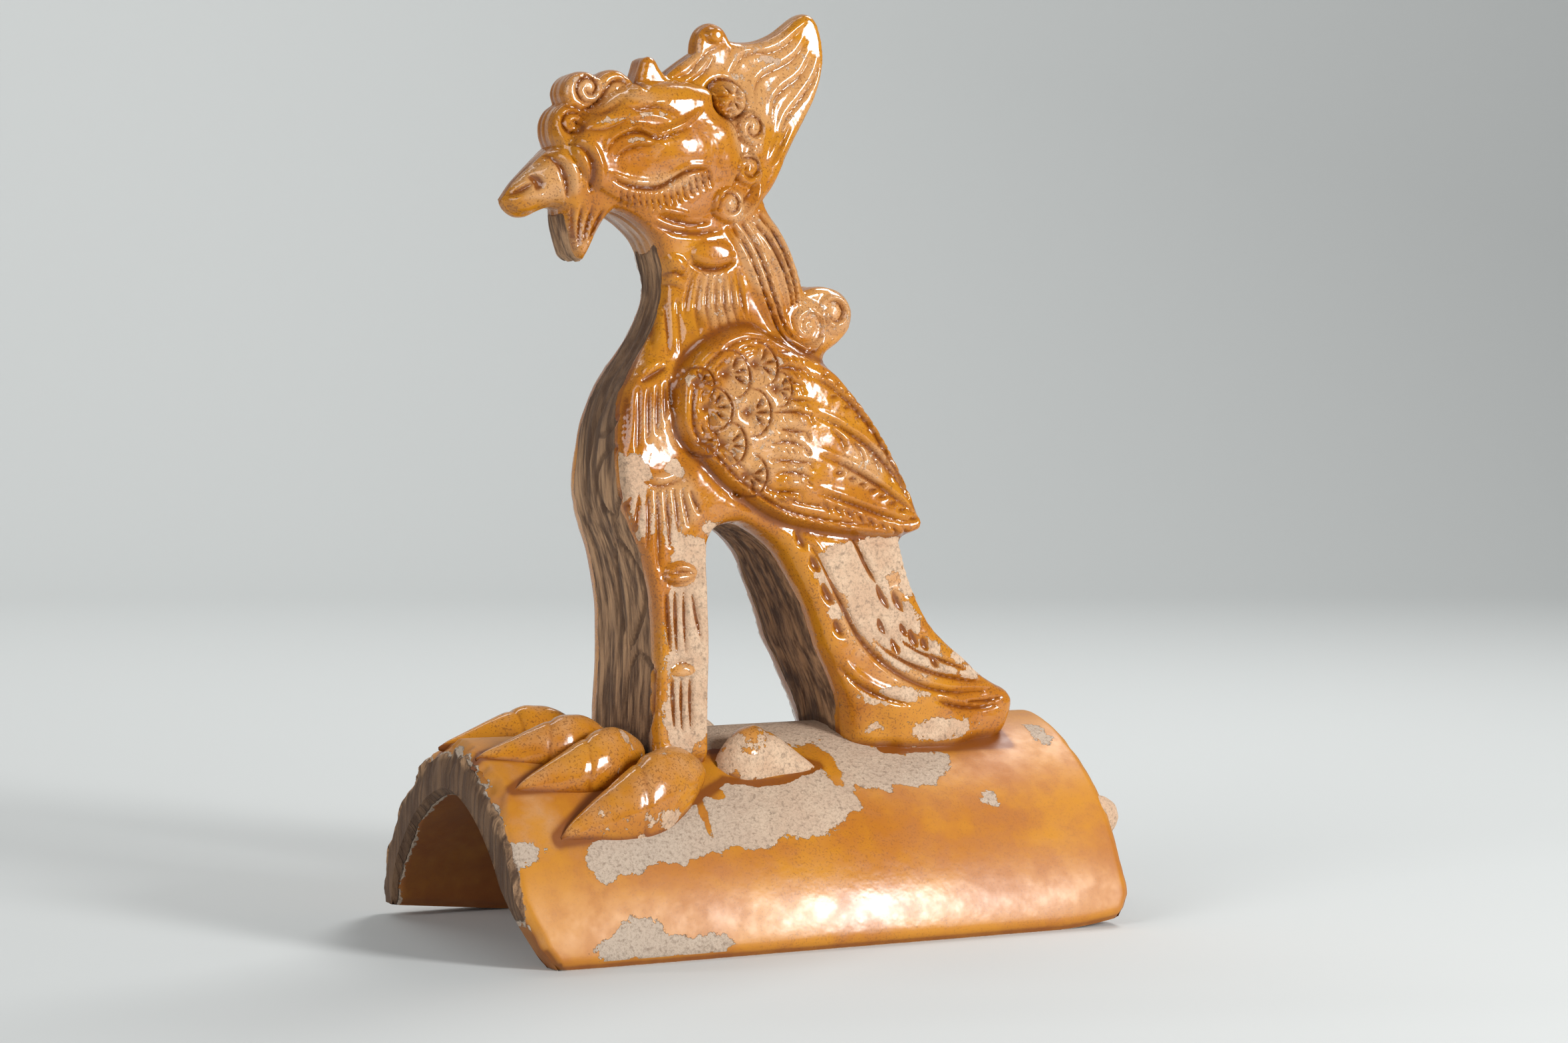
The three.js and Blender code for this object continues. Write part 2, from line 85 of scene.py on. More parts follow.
def smooth(x, low, high):
    """A soft step: 0 below low, 1 above high, and 3t^2 - 2t^3 between them."""
    t = np.clip((x - low) / (high - low), 0.0, 1.0)
    return t * t * (3.0 - 2.0 * t)


def bell(x, width):
    """A bell of height 1: e to the power of minus (x / width) squared."""
    return np.exp(-((x / width) ** 2))


def noise(points, cell, seed):
    """Value noise from -1 to 1: random numbers on a cubic lattice, blended with soft steps."""
    table = np.random.default_rng(seed).uniform(-1, 1, (NOISE_CELLS, NOISE_CELLS, NOISE_CELLS))
    places = np.asarray(points) / cell
    whole = np.floor(places).astype(int)
    part = places - whole
    part = part * part * (3 - 2 * part)
    total = 0.0
    for corner in np.ndindex(2, 2, 2):
        index = (whole + corner) % NOISE_CELLS
        weight = np.prod(np.where(corner, part, 1 - part), axis=-1)
        total = total + weight * table[index[..., 0], index[..., 1], index[..., 2]]
    return total


def layered(points, cell, seed, layers=3):
    """Sum of noise layers, each with half the cell and half the height of the last, divided
    by 1.75, the sum of three layers' heights."""
    return sum(noise(points, cell / 2**i, seed + i) / 2**i for i in range(layers)) / 1.75


def spline(points, step, closed=False):
    """A curve through the points: in each span the cubic Catmull-Rom blend of four neighbours.
    A point given twice is a corner. The result has even steps of about the given length."""
    knots = np.asarray(points, float)
    ends = (knots[-1:], knots[:2]) if closed else (knots[:1], knots[-1:])
    padded = np.concatenate([ends[0], knots, ends[1]])
    t = np.linspace(0, 1, SPAN_SAMPLES, endpoint=False)[:, None, None]
    a, b, c, d = padded[:-3], padded[1:-2], padded[2:-1], padded[3:]
    square, cube = 2 * a - 5 * b + 4 * c - d, 3 * b - a - 3 * c + d
    spans = 0.5 * (2 * b + (c - a) * t + square * t**2 + cube * t**3)
    spans = spans[:, (b != c).any(axis=1)]
    line = spans.transpose(1, 0, 2).reshape(-1, knots.shape[1])
    line = np.concatenate([line, knots[:1] if closed else knots[-1:]])
    travel = np.concatenate([[0.0], np.cumsum(np.linalg.norm(np.diff(line, axis=0), axis=1))])
    count = max(2, int(round(travel[-1] / step)))
    marks = np.linspace(0, travel[-1], count + 1)
    even = np.stack([np.interp(marks, travel, line[:, k]) for k in range(line.shape[1])], axis=1)
    return even[:-1] if closed else even


def spiral(x, z, radius, start, turns, inner=0.2, count=14):
    """Points of a spiral about (x, z): the radius shrinks evenly while the angle turns."""
    share = np.linspace(0, 1, count)
    angle = start + turns * 2 * math.pi * share
    reach = radius * (1 - (1 - inner) * share)
    return np.stack([x + reach * np.cos(angle), z + reach * np.sin(angle)], axis=1)


def to_line(points, line):
    """Distance of each point to an open line of segments, and how far along it, from 0 to 1."""
    a, b = line[:-1], line[1:]
    edge = b - a
    offset = points[:, None, :] - a[None]
    t = np.clip((offset * edge).sum(-1) / np.maximum((edge**2).sum(-1), 1e-9), 0, 1)
    gap = offset - t[..., None] * edge
    distance = np.sqrt((gap**2).sum(-1))
    nearest = distance.argmin(axis=1)
    rows = np.arange(len(points))
    along = (nearest + t[rows, nearest]) / len(a)
    return distance[rows, nearest], along


def to_outline(points, outline):
    """Signed distance to a closed outline, positive inside: the nearest segment's distance,
    with the sign from counting the edges that a ray to the right crosses."""
    closed = np.concatenate([outline, outline[:1]])
    result = np.empty(len(points))
    for first in range(0, len(points), BLOCK):
        block = points[first : first + BLOCK]
        distance, _ = to_line(block, closed)
        a, b = closed[:-1][None], closed[1:][None]
        x, z = block[:, None, 0], block[:, None, 1]
        spans = (a[..., 1] > z) != (b[..., 1] > z)
        rise = np.where(np.abs(b[..., 1] - a[..., 1]) < 1e-9, 1e-9, b[..., 1] - a[..., 1])
        crossing = a[..., 0] + (z - a[..., 1]) / rise * (b[..., 0] - a[..., 0])
        inside = (spans & (x < crossing)).sum(axis=1) % 2 == 1
        result[first : first + BLOCK] = np.where(inside, distance, -distance)
    return result


def blended(points, places, reach):
    """Values spread from places: each place weighs e^-(distance/reach)^2, and the weights
    are shared out so that they sum to 1. A place is (x, z, value, ...)."""
    table = np.asarray(places, float)
    square = ((points[:, None, :] - table[None, :, :2]) ** 2).sum(-1) / reach**2
    weight = np.exp(-(square - square.min(axis=1, keepdims=True)))
    return (weight / weight.sum(axis=1, keepdims=True)) @ table[:, 2:]


def ellipses(points, places):
    """Rough signed distance to the nearest of some ellipses, positive inside.
    A place is (x, z, half width, half height)."""
    table = np.asarray(places, float)
    share = np.sqrt((((points[:, None, :] - table[None, :, :2]) / table[None, :, 2:4]) ** 2).sum(-1))
    return ((1 - share) * table[:, 2:4].min(axis=1)).max(axis=1)


def arch(width, height, count):
    """The tile's section from the near bottom edge over the crown: |y/a|^p + |z/h|^p = 1,
    walked in even steps."""
    angle = np.linspace(0, math.pi, 2001)
    y = -np.sign(np.cos(angle)) * width / 2 * np.abs(np.cos(angle)) ** (2 / ARCH_POWER)
    z = height * np.clip(np.sin(angle), 0, 1) ** (2 / ARCH_POWER)
    travel = np.concatenate([[0.0], np.cumsum(np.hypot(np.diff(y), np.diff(z)))])
    marks = np.linspace(0, travel[-1], count + 1)
    return np.stack([np.interp(marks, travel, y), np.interp(marks, travel, z)], axis=1)


def tile_top(y):
    """Height of the tile's outer face over the ground at a distance from its middle."""
    share = np.clip(np.abs(y) / (TILE_WIDTH / 2), 0, 1)
    return TILE_HEIGHT * (1 - share**ARCH_POWER) ** (1 / ARCH_POWER)


# The figure's drawing, in sheet millimetres

OUTLINE = [
    # beak and forehead scrolls
    (-101, 269.8), (-101, 269.8), (-97, 275.5), (-92.5, 280), (-87, 284.8), (-81.5, 289),
    (-81.5, 289), (-83, 293), (-83, 298), (-81, 302), (-77.5, 304.7), (-77.5, 304.7),
    (-78.6, 308.5), (-77.3, 312.5), (-73.8, 315.3), (-69, 315.8), (-64.8, 314), (-64.8, 314),
    (-61.5, 316.3), (-57, 316.8), (-53, 314.5), (-50.5, 310.8), (-50.5, 310.8), (-49.5, 310.8),
    # horn, crest's lobe and knob
    (-49.5, 310.8), (-48, 316), (-46.5, 321.3), (-46.5, 321.3), (-44.3, 322.3), (-42, 321.3),
    (-40, 318), (-37.3, 315.3), (-37.3, 315.3), (-34, 318), (-29.5, 321.3), (-24.3, 324.6),
    (-24.3, 324.6), (-23.8, 329.5), (-21.8, 333.2), (-17.7, 335.2), (-13.6, 333.6), (-10.8, 329),
    # crest
    (-10.8, 329), (-5, 328.3), (1.5, 329.2), (8, 332), (13.2, 335.8), (17.6, 339), (21, 340),
    (24, 338), (26.3, 332.5), (27.3, 325), (26.3, 316.5), (23.5, 308.5), (19.5, 301.5), (15, 294.5),
    (11, 287.5), (8, 281), (4.8, 275.5), (0.8, 270.5), (0.8, 270.5),
    # locks on the nape
    (4.8, 262), (8.8, 254.5), (12.4, 246.5), (14.6, 240.5), (16, 236.6), (16, 236.6), (21, 238),
    (27, 238), (33, 235.6), (36.6, 230), (35.6, 223), (31.2, 218), (25, 214), (19.3, 210.8),
    # back edge of the wings
    (19.3, 210.8), (22.5, 205.5), (30, 196.5), (38.4, 185), (46, 172.5), (51.3, 162), (54.6, 154.8),
    (56.2, 150.6), (54.8, 147), (51, 145.4), (48.6, 143.4), (48.6, 143.4),
    # tail
    (49.3, 139), (51.2, 132), (54, 124.5), (58, 116.5), (62.5, 110), (70, 103), (79, 96.5),
    (87, 90.5), (93, 87), (97, 85), (99.5, 81.5), (99, 77), (96, 70), (92, 62), (90, 56),
    (90, 56), (32, 56), (32, 56), (29.8, 64), (27.8, 73), (25.8, 82), (22.8, 90), (19.4, 97.5),
    # arch between tail and leg
    (15.6, 105), (13, 113), (9.8, 121.5), (5.5, 130.5), (0.6, 139), (-5, 144.8), (-11, 148.8),
    (-17, 151.3), (-23, 151.5), (-28, 149.8), (-31, 145), (-32, 137), (-31.6, 125),
    (-31.3, 110), (-31.6, 95), (-32, 80), (-32.5, 56), (-32.5, 56), (-53.2, 56), (-53.2, 56),
    # breast and throat
    (-53, 80), (-52, 100), (-52.4, 120), (-56, 139), (-60, 150), (-63, 160), (-63.7, 170),
    (-63.2, 180), (-61.8, 190), (-58.3, 201), (-52.5, 210.5), (-47, 219.5),
    (-43, 228.5), (-41, 237), (-41.8, 246), (-45, 255), (-50, 260.5), (-56, 264.5),
    # beard and lower beak
    (-61.5, 266.5), (-61.5, 266.5), (-64.3, 263.5), (-67.5, 258), (-70.5, 251.5), (-72.6, 248),
    (-72.6, 248), (-75.4, 250.5), (-78, 258.5), (-79.6, 267), (-79.6, 267), (-83.5, 267.6),
    (-88, 266), (-92, 264.3), (-96, 264.4), (-99.3, 266.6),
]

# Half-thickness and edge radius at places: x, z, half, radius.
FULLNESS = [
    (-101, 269, 6, 5), (-92, 275, 9.5, 8), (-83, 279, 13, 8), (-76, 299, 8.5, 1.8),
    (-70, 310, 8.5, 1.8), (-58, 313, 8.5, 1.8), (-44, 318, 6.5, 1.5), (-75, 256, 11, 2.5),
    (-68, 262, 13, 3), (-72, 287, 16, 5), (-60, 276, 19, 6), (-52, 304, 11, 3),
    (-35, 312, 8, 2), (-28, 319, 6.5, 2), (-17, 330, 4.8, 2), (-13, 302, 12.5, 3),
    (-8, 290, 12.5, 3), (14, 332, 6.5, 2.2), (-6, 322, 6.5, 2.2), (19, 312, 6.5, 2.2),
    (8, 298, 7.5, 2.5), (2, 280, 10, 3), (-18, 272, 15.5, 4), (-36, 266, 18.5, 4),
    (-52, 266, 17.5, 5), (-42, 237, 13.5, 5), (-38, 250, 16, 5), (-22, 240, 18, 5),
    (-5, 240, 17, 4), (8, 245, 14.5, 3), (20, 230, 13, 2.5), (31, 228, 12, 2.5),
    (-46, 218, 17, 6), (-57, 202, 21, 6), (-42, 198, 25, 6), (-61, 182, 24.5, 5),
    (-62, 165, 28, 4), (-57, 148, 30, 3), (-22, 214, 26, 5), (-12, 190, 30, 4),
    (10, 200, 28.5, 4), (34, 180, 28.5, 3), (48, 156, 28.5, 3), (-22, 160, 31, 4),
    (10, 160, 30.5, 4), (-42, 130, 31, 2.5), (-42, 100, 31.5, 2.5), (-42, 70, 32, 2.5),
    (-12, 146, 29, 9), (2, 140, 29, 8), (13, 118, 31, 6), (22, 138, 31, 6), (45, 136, 30, 4),
    (32, 112, 32, 5), (52, 112, 31, 4.5), (26, 90, 32, 7), (30, 72, 28.5, 10), (48, 90, 33, 5),
    (64, 92, 31, 5), (88, 84, 27, 6), (98, 80, 25, 6), (65, 70, 30.5, 4), (90, 70, 27, 5),
]

# The head's bulging side. It stands out of the thin crest, scrolls and curls around it.
SKULL = [
    (-74, 280), (-77.5, 287), (-75.5, 294), (-70.5, 300.5), (-64, 305.5), (-56.5, 309.8),
    (-47, 312), (-37, 312.8), (-28, 312.3), (-22.5, 309.5), (-21.5, 303.5), (-15, 299),
    (-12.5, 292), (-12.5, 283), (-15.5, 276), (-21, 269.5), (-29, 265.5), (-40, 265),
    (-50, 266.5), (-60, 270), (-68, 274),
]
SKULL_HALF = 19.5

WING = [
    (-42, 192), (-41, 203), (-36, 212), (-28.2, 219), (-18.7, 223), (-9, 222.8), (-2, 219),
    (5.5, 215), (17, 209.5), (26, 203), (35, 194), (43, 182), (49.7, 169), (55.5, 156), (58.3, 150.8),
    (56.5, 147), (48, 145.4), (32, 146.2), (17, 148.2), (2, 151.3), (-7.5, 155.2), (-17, 160.8),
    (-27, 168.3), (-35.3, 177.3), (-40.7, 185),
]
WING_MIDDLE = (2, 186)
WING_RELIEF = 4.5


def far(points, x, z=0.0):
    """The same points moved on the sheet."""
    return [(px + x, pz + z) for px, pz in points]


def drawn_in(points, share):
    """The same points drawn towards the wing's middle by a share of the way."""
    return [(x + (WING_MIDDLE[0] - x) * share, z + (WING_MIDDLE[1] - z) * share) for x, z in points]


def ray(centre, angle, inner, outer):
    """Two points at these distances from a centre, in one direction."""
    return [(centre[0] + r * math.cos(angle), centre[1] + r * math.sin(angle)) for r in (inner, outer)]


def fan(tops, bottoms, width=2.3, depth=1.3):
    """Strokes from a row of tops to a row of bottoms, each (x, z)."""
    return [([top, bottom], width, -depth, 0.35) for top, bottom in zip(tops, bottoms)]


def parallel(points, gaps, step=1.5):
    """Lines beside a line: each is moved along its normal by a gap that narrows to its end."""
    line = spline(points, step)
    tangent = np.gradient(line, axis=0)
    tangent /= np.maximum(np.linalg.norm(tangent, axis=1, keepdims=True), 1e-9)
    normal = np.stack([-tangent[:, 1], tangent[:, 0]], axis=1)
    narrow = np.linspace(1.0, 0.55, len(line))[:, None]
    return [line + normal * gap * narrow for gap in gaps]


# A stroke is (points, width, height, how blunt its ends are). A negative height is a groove.
CHEEK_FEATHERS = 15
PETALS = 6


def head_strokes():
    """Beak, eye, brows, cheek, jaw, hairline, beard and the two scrolls on the forehead."""
    strokes = [
        # beak: two rings, the mouth and the nostril's pit
        ([(-86.5, 286.5), (-82.5, 282), (-80, 276.5), (-79.2, 270)], 2.8, -2.0, 0.3),
        ([(-84, 288), (-79.8, 284), (-77.2, 278.5), (-76.6, 271)], 2.8, 1.3, 0.4),
        ([(-79, 290), (-75, 287.6), (-71.9, 282), (-71.3, 272.5)], 2.8, -2.0, 0.3),
        ([(-76.5, 291.5), (-72.5, 289), (-69.3, 282), (-68.6, 273)], 2.8, 1.0, 0.4),
        ([(-99.5, 271), (-95, 273.2), (-91, 276)], 2.6, -1.8, 0.3),
        ([(-91.5, 277.5), (-89.5, 276), (-90, 274)], 4.2, -2.6, 0.7),
        ([(-98, 269.5), (-93, 271), (-87, 270.5)], 3.0, 0.9, 0.3),
        # eye: lids, the ball between them and brow strokes
        ([(-67.5, 288), (-65.5, 292), (-61, 294.8), (-55, 296.2), (-49, 294), (-43, 295.5), (-36, 298.5),
          (-30, 303)], 2.6, 1.9, 0.3),
        ([(-67, 286.3), (-64.5, 290.3), (-60.5, 293), (-55, 294.2), (-48.5, 292), (-42, 293.5),
          (-35, 296.3)], 2.2, -1.6, 0.2),
        ([(-63.5, 286), (-60, 289), (-56, 290.3), (-51, 290.6), (-46, 289.5)], 2.4, 1.3, 0.3),
        ([(-64, 284.3), (-60, 287.4), (-55.5, 288.6), (-50, 288.8)], 2.0, -1.2, 0.2),
        ([(-75, 295), (-69, 294.5), (-63, 296.5), (-58, 299)], 2.6, -1.3, 0.3),
        ([(-66, 300.5), (-58, 299.8), (-50, 300.5), (-42, 298.8)], 2.6, 1.1, 0.2),
        ([(-62, 304.5), (-55, 302.5), (-47, 303.5), (-39, 301.2)], 2.4, -1.3, 0.2),
        ([(-58, 307.5), (-50, 305.5), (-42, 306)], 2.4, 1.0, 0.2),
        ([(-72, 299), (-64, 302.5), (-58, 307)], 2.4, -1.2, 0.3),
        # the cheek's lower edge and the jaw
        ([(-64.5, 277.3), (-59, 275), (-53, 274), (-47, 274.3), (-42, 276.8), (-36, 280.2), (-28, 281.3)],
         2.4, -2.0, 0.3),
        ([(-66, 279.5), (-59, 277), (-53, 276), (-46.5, 276.4), (-41, 279), (-35, 282.4), (-27, 283)],
         2.6, 0.9, 0.3),
        ([(-46, 264.3), (-38, 262), (-31, 261.3), (-25, 262.3)], 2.4, -1.6, 0.3),
        ([(-48, 261.5), (-40, 258.5), (-30, 257.8), (-20, 259)], 2.8, -1.5, 0.3),
        ([(-46, 267), (-40, 265.5), (-34, 264.8)], 2.4, 1.1, 0.3),
        # the hairline ribbon behind the cheek
        ([(-15, 262), (-8, 266), (-2.8, 272), (-2.6, 279), (-5.2, 288), (-1.4, 291), (-1.2, 298),
          (-5, 303)], 3.0, 1.8, 0.4),
        ([(-12.5, 268.5), (-7, 272.5), (-4.8, 277)], 2.2, -1.5, 0.4),
        ([(-21.5, 301), (-15, 298), (-12.2, 291), (-12.3, 283), (-15.5, 275.5), (-21, 269.5)], 2.2, -1.6,
         0.3),
        # beard
        ([(-77.5, 268), (-77, 259), (-75.8, 251)], 2.3, -1.8, 0.3),
        ([(-73.8, 268), (-74.6, 260), (-74.6, 252)], 2.3, -1.8, 0.3),
        ([(-70, 267.5), (-71.5, 261), (-73, 254)], 2.3, -1.8, 0.3),
        ([(-66, 266.5), (-68.3, 261), (-71, 255)], 2.3, -1.8, 0.3),
    ]
    # short feathers under the cheek: their row sags first and climbs over its last stretch
    for i in range(CHEEK_FEATHERS):
        share = i / (CHEEK_FEATHERS - 1)
        x = -61.5 + 34 * share
        top = 273.2 - 1.6 * math.sin(math.pi * share * 1.1) + 7.4 * max(0.0, share - 0.42) / 0.58
        strokes.append(([(x, top), (x + 1.6, top - 5.6)], 1.5, -1.3, 0.5))
    # forehead scrolls: volutes with raised ribs between two grooves
    strokes += [
        (spiral(-76.4, 296.8, 5.0, 0.7, 1.1, 0.3), 2.0, -1.8, 0.6),
        (spiral(-69.3, 310.4, 5.4, 4.4, -1.1, 0.3), 2.0, -1.8, 0.6),
        ([(-73.5, 302), (-68, 304), (-63.3, 308.5), (-60.3, 312.6), (-56.6, 313.3), (-54.3, 311)], 2.0,
         -1.7, 0.6),
        ([(-71.5, 305.2), (-66.5, 305.4), (-63.8, 309.5), (-64.2, 313)], 1.8, -1.2, 0.5),
        ([(-79.5, 303), (-74.5, 303.3), (-71.5, 300)], 2.2, -1.4, 0.5),
    ]
    return strokes


def crest_strokes():
    """Wavy hair on the crest: a groove along each wave and a soft rib above it."""
    waves = [
        [(-39.6, 315.1), (-30, 316), (-24.7, 320.9), (-19.4, 325.6), (-13.6, 327.6)],
        [(-30, 312.5), (-22, 318), (-18, 324)],
        [(-12, 316), (-7.7, 322.5), (-2.4, 325), (5, 325.6), (11.4, 328.5), (17.8, 334.8)],
        [(-3.5, 304.6), (-2.4, 312.2), (1.9, 317), (8.2, 319.9), (14.6, 323.7), (20, 330.5)],
        [(4, 298.9), (5.6, 307), (10.4, 312.4), (16.7, 316.8), (22, 325)],
        [(7.2, 293), (11.4, 302), (16.7, 307.9), (22.6, 316), (25.3, 323)],
        [(3.4, 283.5), (8.2, 291.2), (12.5, 298.9)],
    ]
    strokes = [(wave, 2.2, -1.1, 0.15) for wave in waves]
    strokes += [(far(wave, -1.3, 2.0), 3.4, 0.9, 0.1) for wave in waves[1:]]
    strokes.append(([(-8, 327), (1, 327.7), (9, 330.8), (15, 335), (19.5, 338)], 2.6, 0.9, 0.3))
    return strokes


def neck_strokes():
    """The scrolled locks on the nape, and fans of short feathers down neck, breast and leg."""
    lock = [(-14.5, 262), (-9, 254), (-4.5, 244.5), (-1, 235), (2.6, 226.5), (7, 219), (12.5, 215)]
    curl = [tuple(point) for point in spiral(16, 224, 8.6, -1.9, 1.05, 0.36, 12)]
    strokes = []
    for line in parallel([*lock, *curl], (0.0,)):
        strokes.append((line, 4.2, 2.6, 0.5))
    for line in parallel(lock, (3.9, -3.9)):
        strokes.append((line, 3.6, 2.1, 0.3))
    for line in parallel([*lock, *curl[:8]], (2.1, -2.1)):
        strokes.append((line, 1.7, -1.4, 0.3))
    strokes.append((spiral(16, 224, 1.6, 0.0, 1.0, 0.8, 8), 3.0, 2.2, 0.9))
    back = [(-5.5, 264.5), (0.8, 256), (6, 246.5), (9.5, 237), (10.5, 232)]
    for line in parallel(back, (-3.6, 0.4, 4.2)):
        strokes.append((line, 3.2, 1.9, 0.4))
    for line in parallel(back, (-1.6, 2.3)):
        strokes.append((line, 1.7, -1.4, 0.4))
    strokes += [
        (spiral(28, 228.5, 6.8, 2.3, -0.95, 0.4), 3.0, 1.7, 0.4),
        (spiral(28, 228.5, 4.7, 2.3, -0.9, 0.4), 1.8, -1.5, 0.4),
        # neck fan under its crescent
        ([(-32, 247), (-27, 244.8), (-21, 245), (-15.5, 247.5)], 2.4, -1.7, 0.4),
        # small motif on the neck's front edge
        ([(-44, 241.5), (-39, 243.5), (-34.5, 242)], 2.2, -1.6, 0.4),
        ([(-43.5, 238), (-38.5, 239), (-35, 237)], 2.0, -1.2, 0.4),
        ([(-43.5, 233), (-45.5, 224), (-47.5, 215)], 2.2, -1.5, 0.3),
        ([(-40.5, 234), (-41.3, 224), (-42, 213.5)], 2.4, -1.6, 0.3),
        ([(-37, 234), (-37, 224), (-38, 215)], 2.2, -1.2, 0.3),
        # breast crescents
        ([(-54, 203.5), (-49.5, 206), (-44, 209)], 2.8, -2.0, 0.4),
        ([(-56, 208), (-50.5, 209.5), (-45.5, 211.8)], 2.4, 1.3, 0.4),
        ([(-57, 168.2), (-50, 165.8), (-41, 168.3)], 2.2, -1.4, 0.4),
        ([(-56, 171), (-49.5, 168.8), (-42, 171)], 2.8, 1.1, 0.4),
        ([(-50.5, 133.5), (-44, 135), (-38, 134)], 2.0, -1.4, 0.4),
        ([(-48, 130.5), (-42, 131), (-36.5, 133.5)], 2.0, -1.2, 0.4),
        ([(-47, 99.3), (-42.5, 101.5), (-38, 99.5)], 2.2, -1.2, 0.4),
    ]
    tops = [(-31.5, 243), (-28.5, 242.5), (-25.5, 242.3), (-22.5, 242.3), (-19.5, 242.6), (-16.7, 243),
            (-14, 243.5)]
    bottoms = [(-34.5, 227), (-31.5, 221), (-27.5, 222), (-23.5, 223), (-19.5, 223.5), (-15.5, 224.5),
               (-11, 227)]
    strokes += fan(tops, bottoms)
    tops = [(-61.5, 199), (-58.5, 200.5), (-55, 201), (-51.6, 201.5), (-48.4, 202), (-45.5, 203),
            (-43.4, 204.5)]
    bottoms = [(-64.5, 188), (-62, 179.5), (-57.5, 177.5), (-53, 182), (-49.3, 185), (-46, 190), (-43, 193)]
    strokes += fan(tops, bottoms, 2.6, 1.6)
    tops = [(-61, 163), (-58, 164.3), (-54.6, 165), (-51.2, 165), (-47.8, 165), (-44.6, 165),
            (-41.8, 165), (-39, 164.5)]
    bottoms = [(-64, 154), (-60.5, 147), (-56, 142), (-51.5, 136.5), (-47, 144), (-43.6, 149),
               (-39.4, 151.5), (-35.5, 156)]
    strokes += fan(tops, bottoms, 2.4, 1.5)
    tops = [(-49, 127.5), (-45.5, 128), (-42, 128), (-38.8, 127.5)]
    bottoms = [(-47.5, 106), (-44.8, 104.5), (-41.2, 104.5), (-35, 109)]
    strokes += fan(tops, bottoms, 2.4, 1.8)
    tops = [(-46.8, 96), (-43.2, 96), (-39.7, 96)]
    bottoms = [(-46, 77), (-43, 76), (-39.5, 76)]
    return strokes + fan(tops, bottoms, 2.4, 1.8)


QUILLS = [
    [(8, 206), (17, 201), (26, 194), (34, 185), (42, 173), (49.5, 160)],
    [(10, 190.5), (19, 187), (29, 181), (37, 174.5), (45, 166), (51.5, 155.5)],
    [(11, 176.5), (20, 173), (30, 168), (40, 162), (49, 156), (53.2, 152.5)],
    [(10, 162.5), (18, 160), (28, 156.8), (40, 152.8), (50.5, 150.6)],
]


# Shells on the wing's shoulder: x, z, radius, lean.
SHELLS = [
    (-23.5, 206.5, 8.8, 0.25), (-12, 210, 8.2, 0.15), (-31, 194, 8.2, 0.1), (-16.5, 192.5, 8.8, 0.0),
    (-26, 181, 8.2, -0.2), (-17.5, 169.5, 8.0, -0.45), (-34.5, 203, 6, 0.9), (-33.5, 182, 5.5, -0.6),
    (-5.5, 201, 6.5, 0.0),
]
FEATHER_ROWS = 10


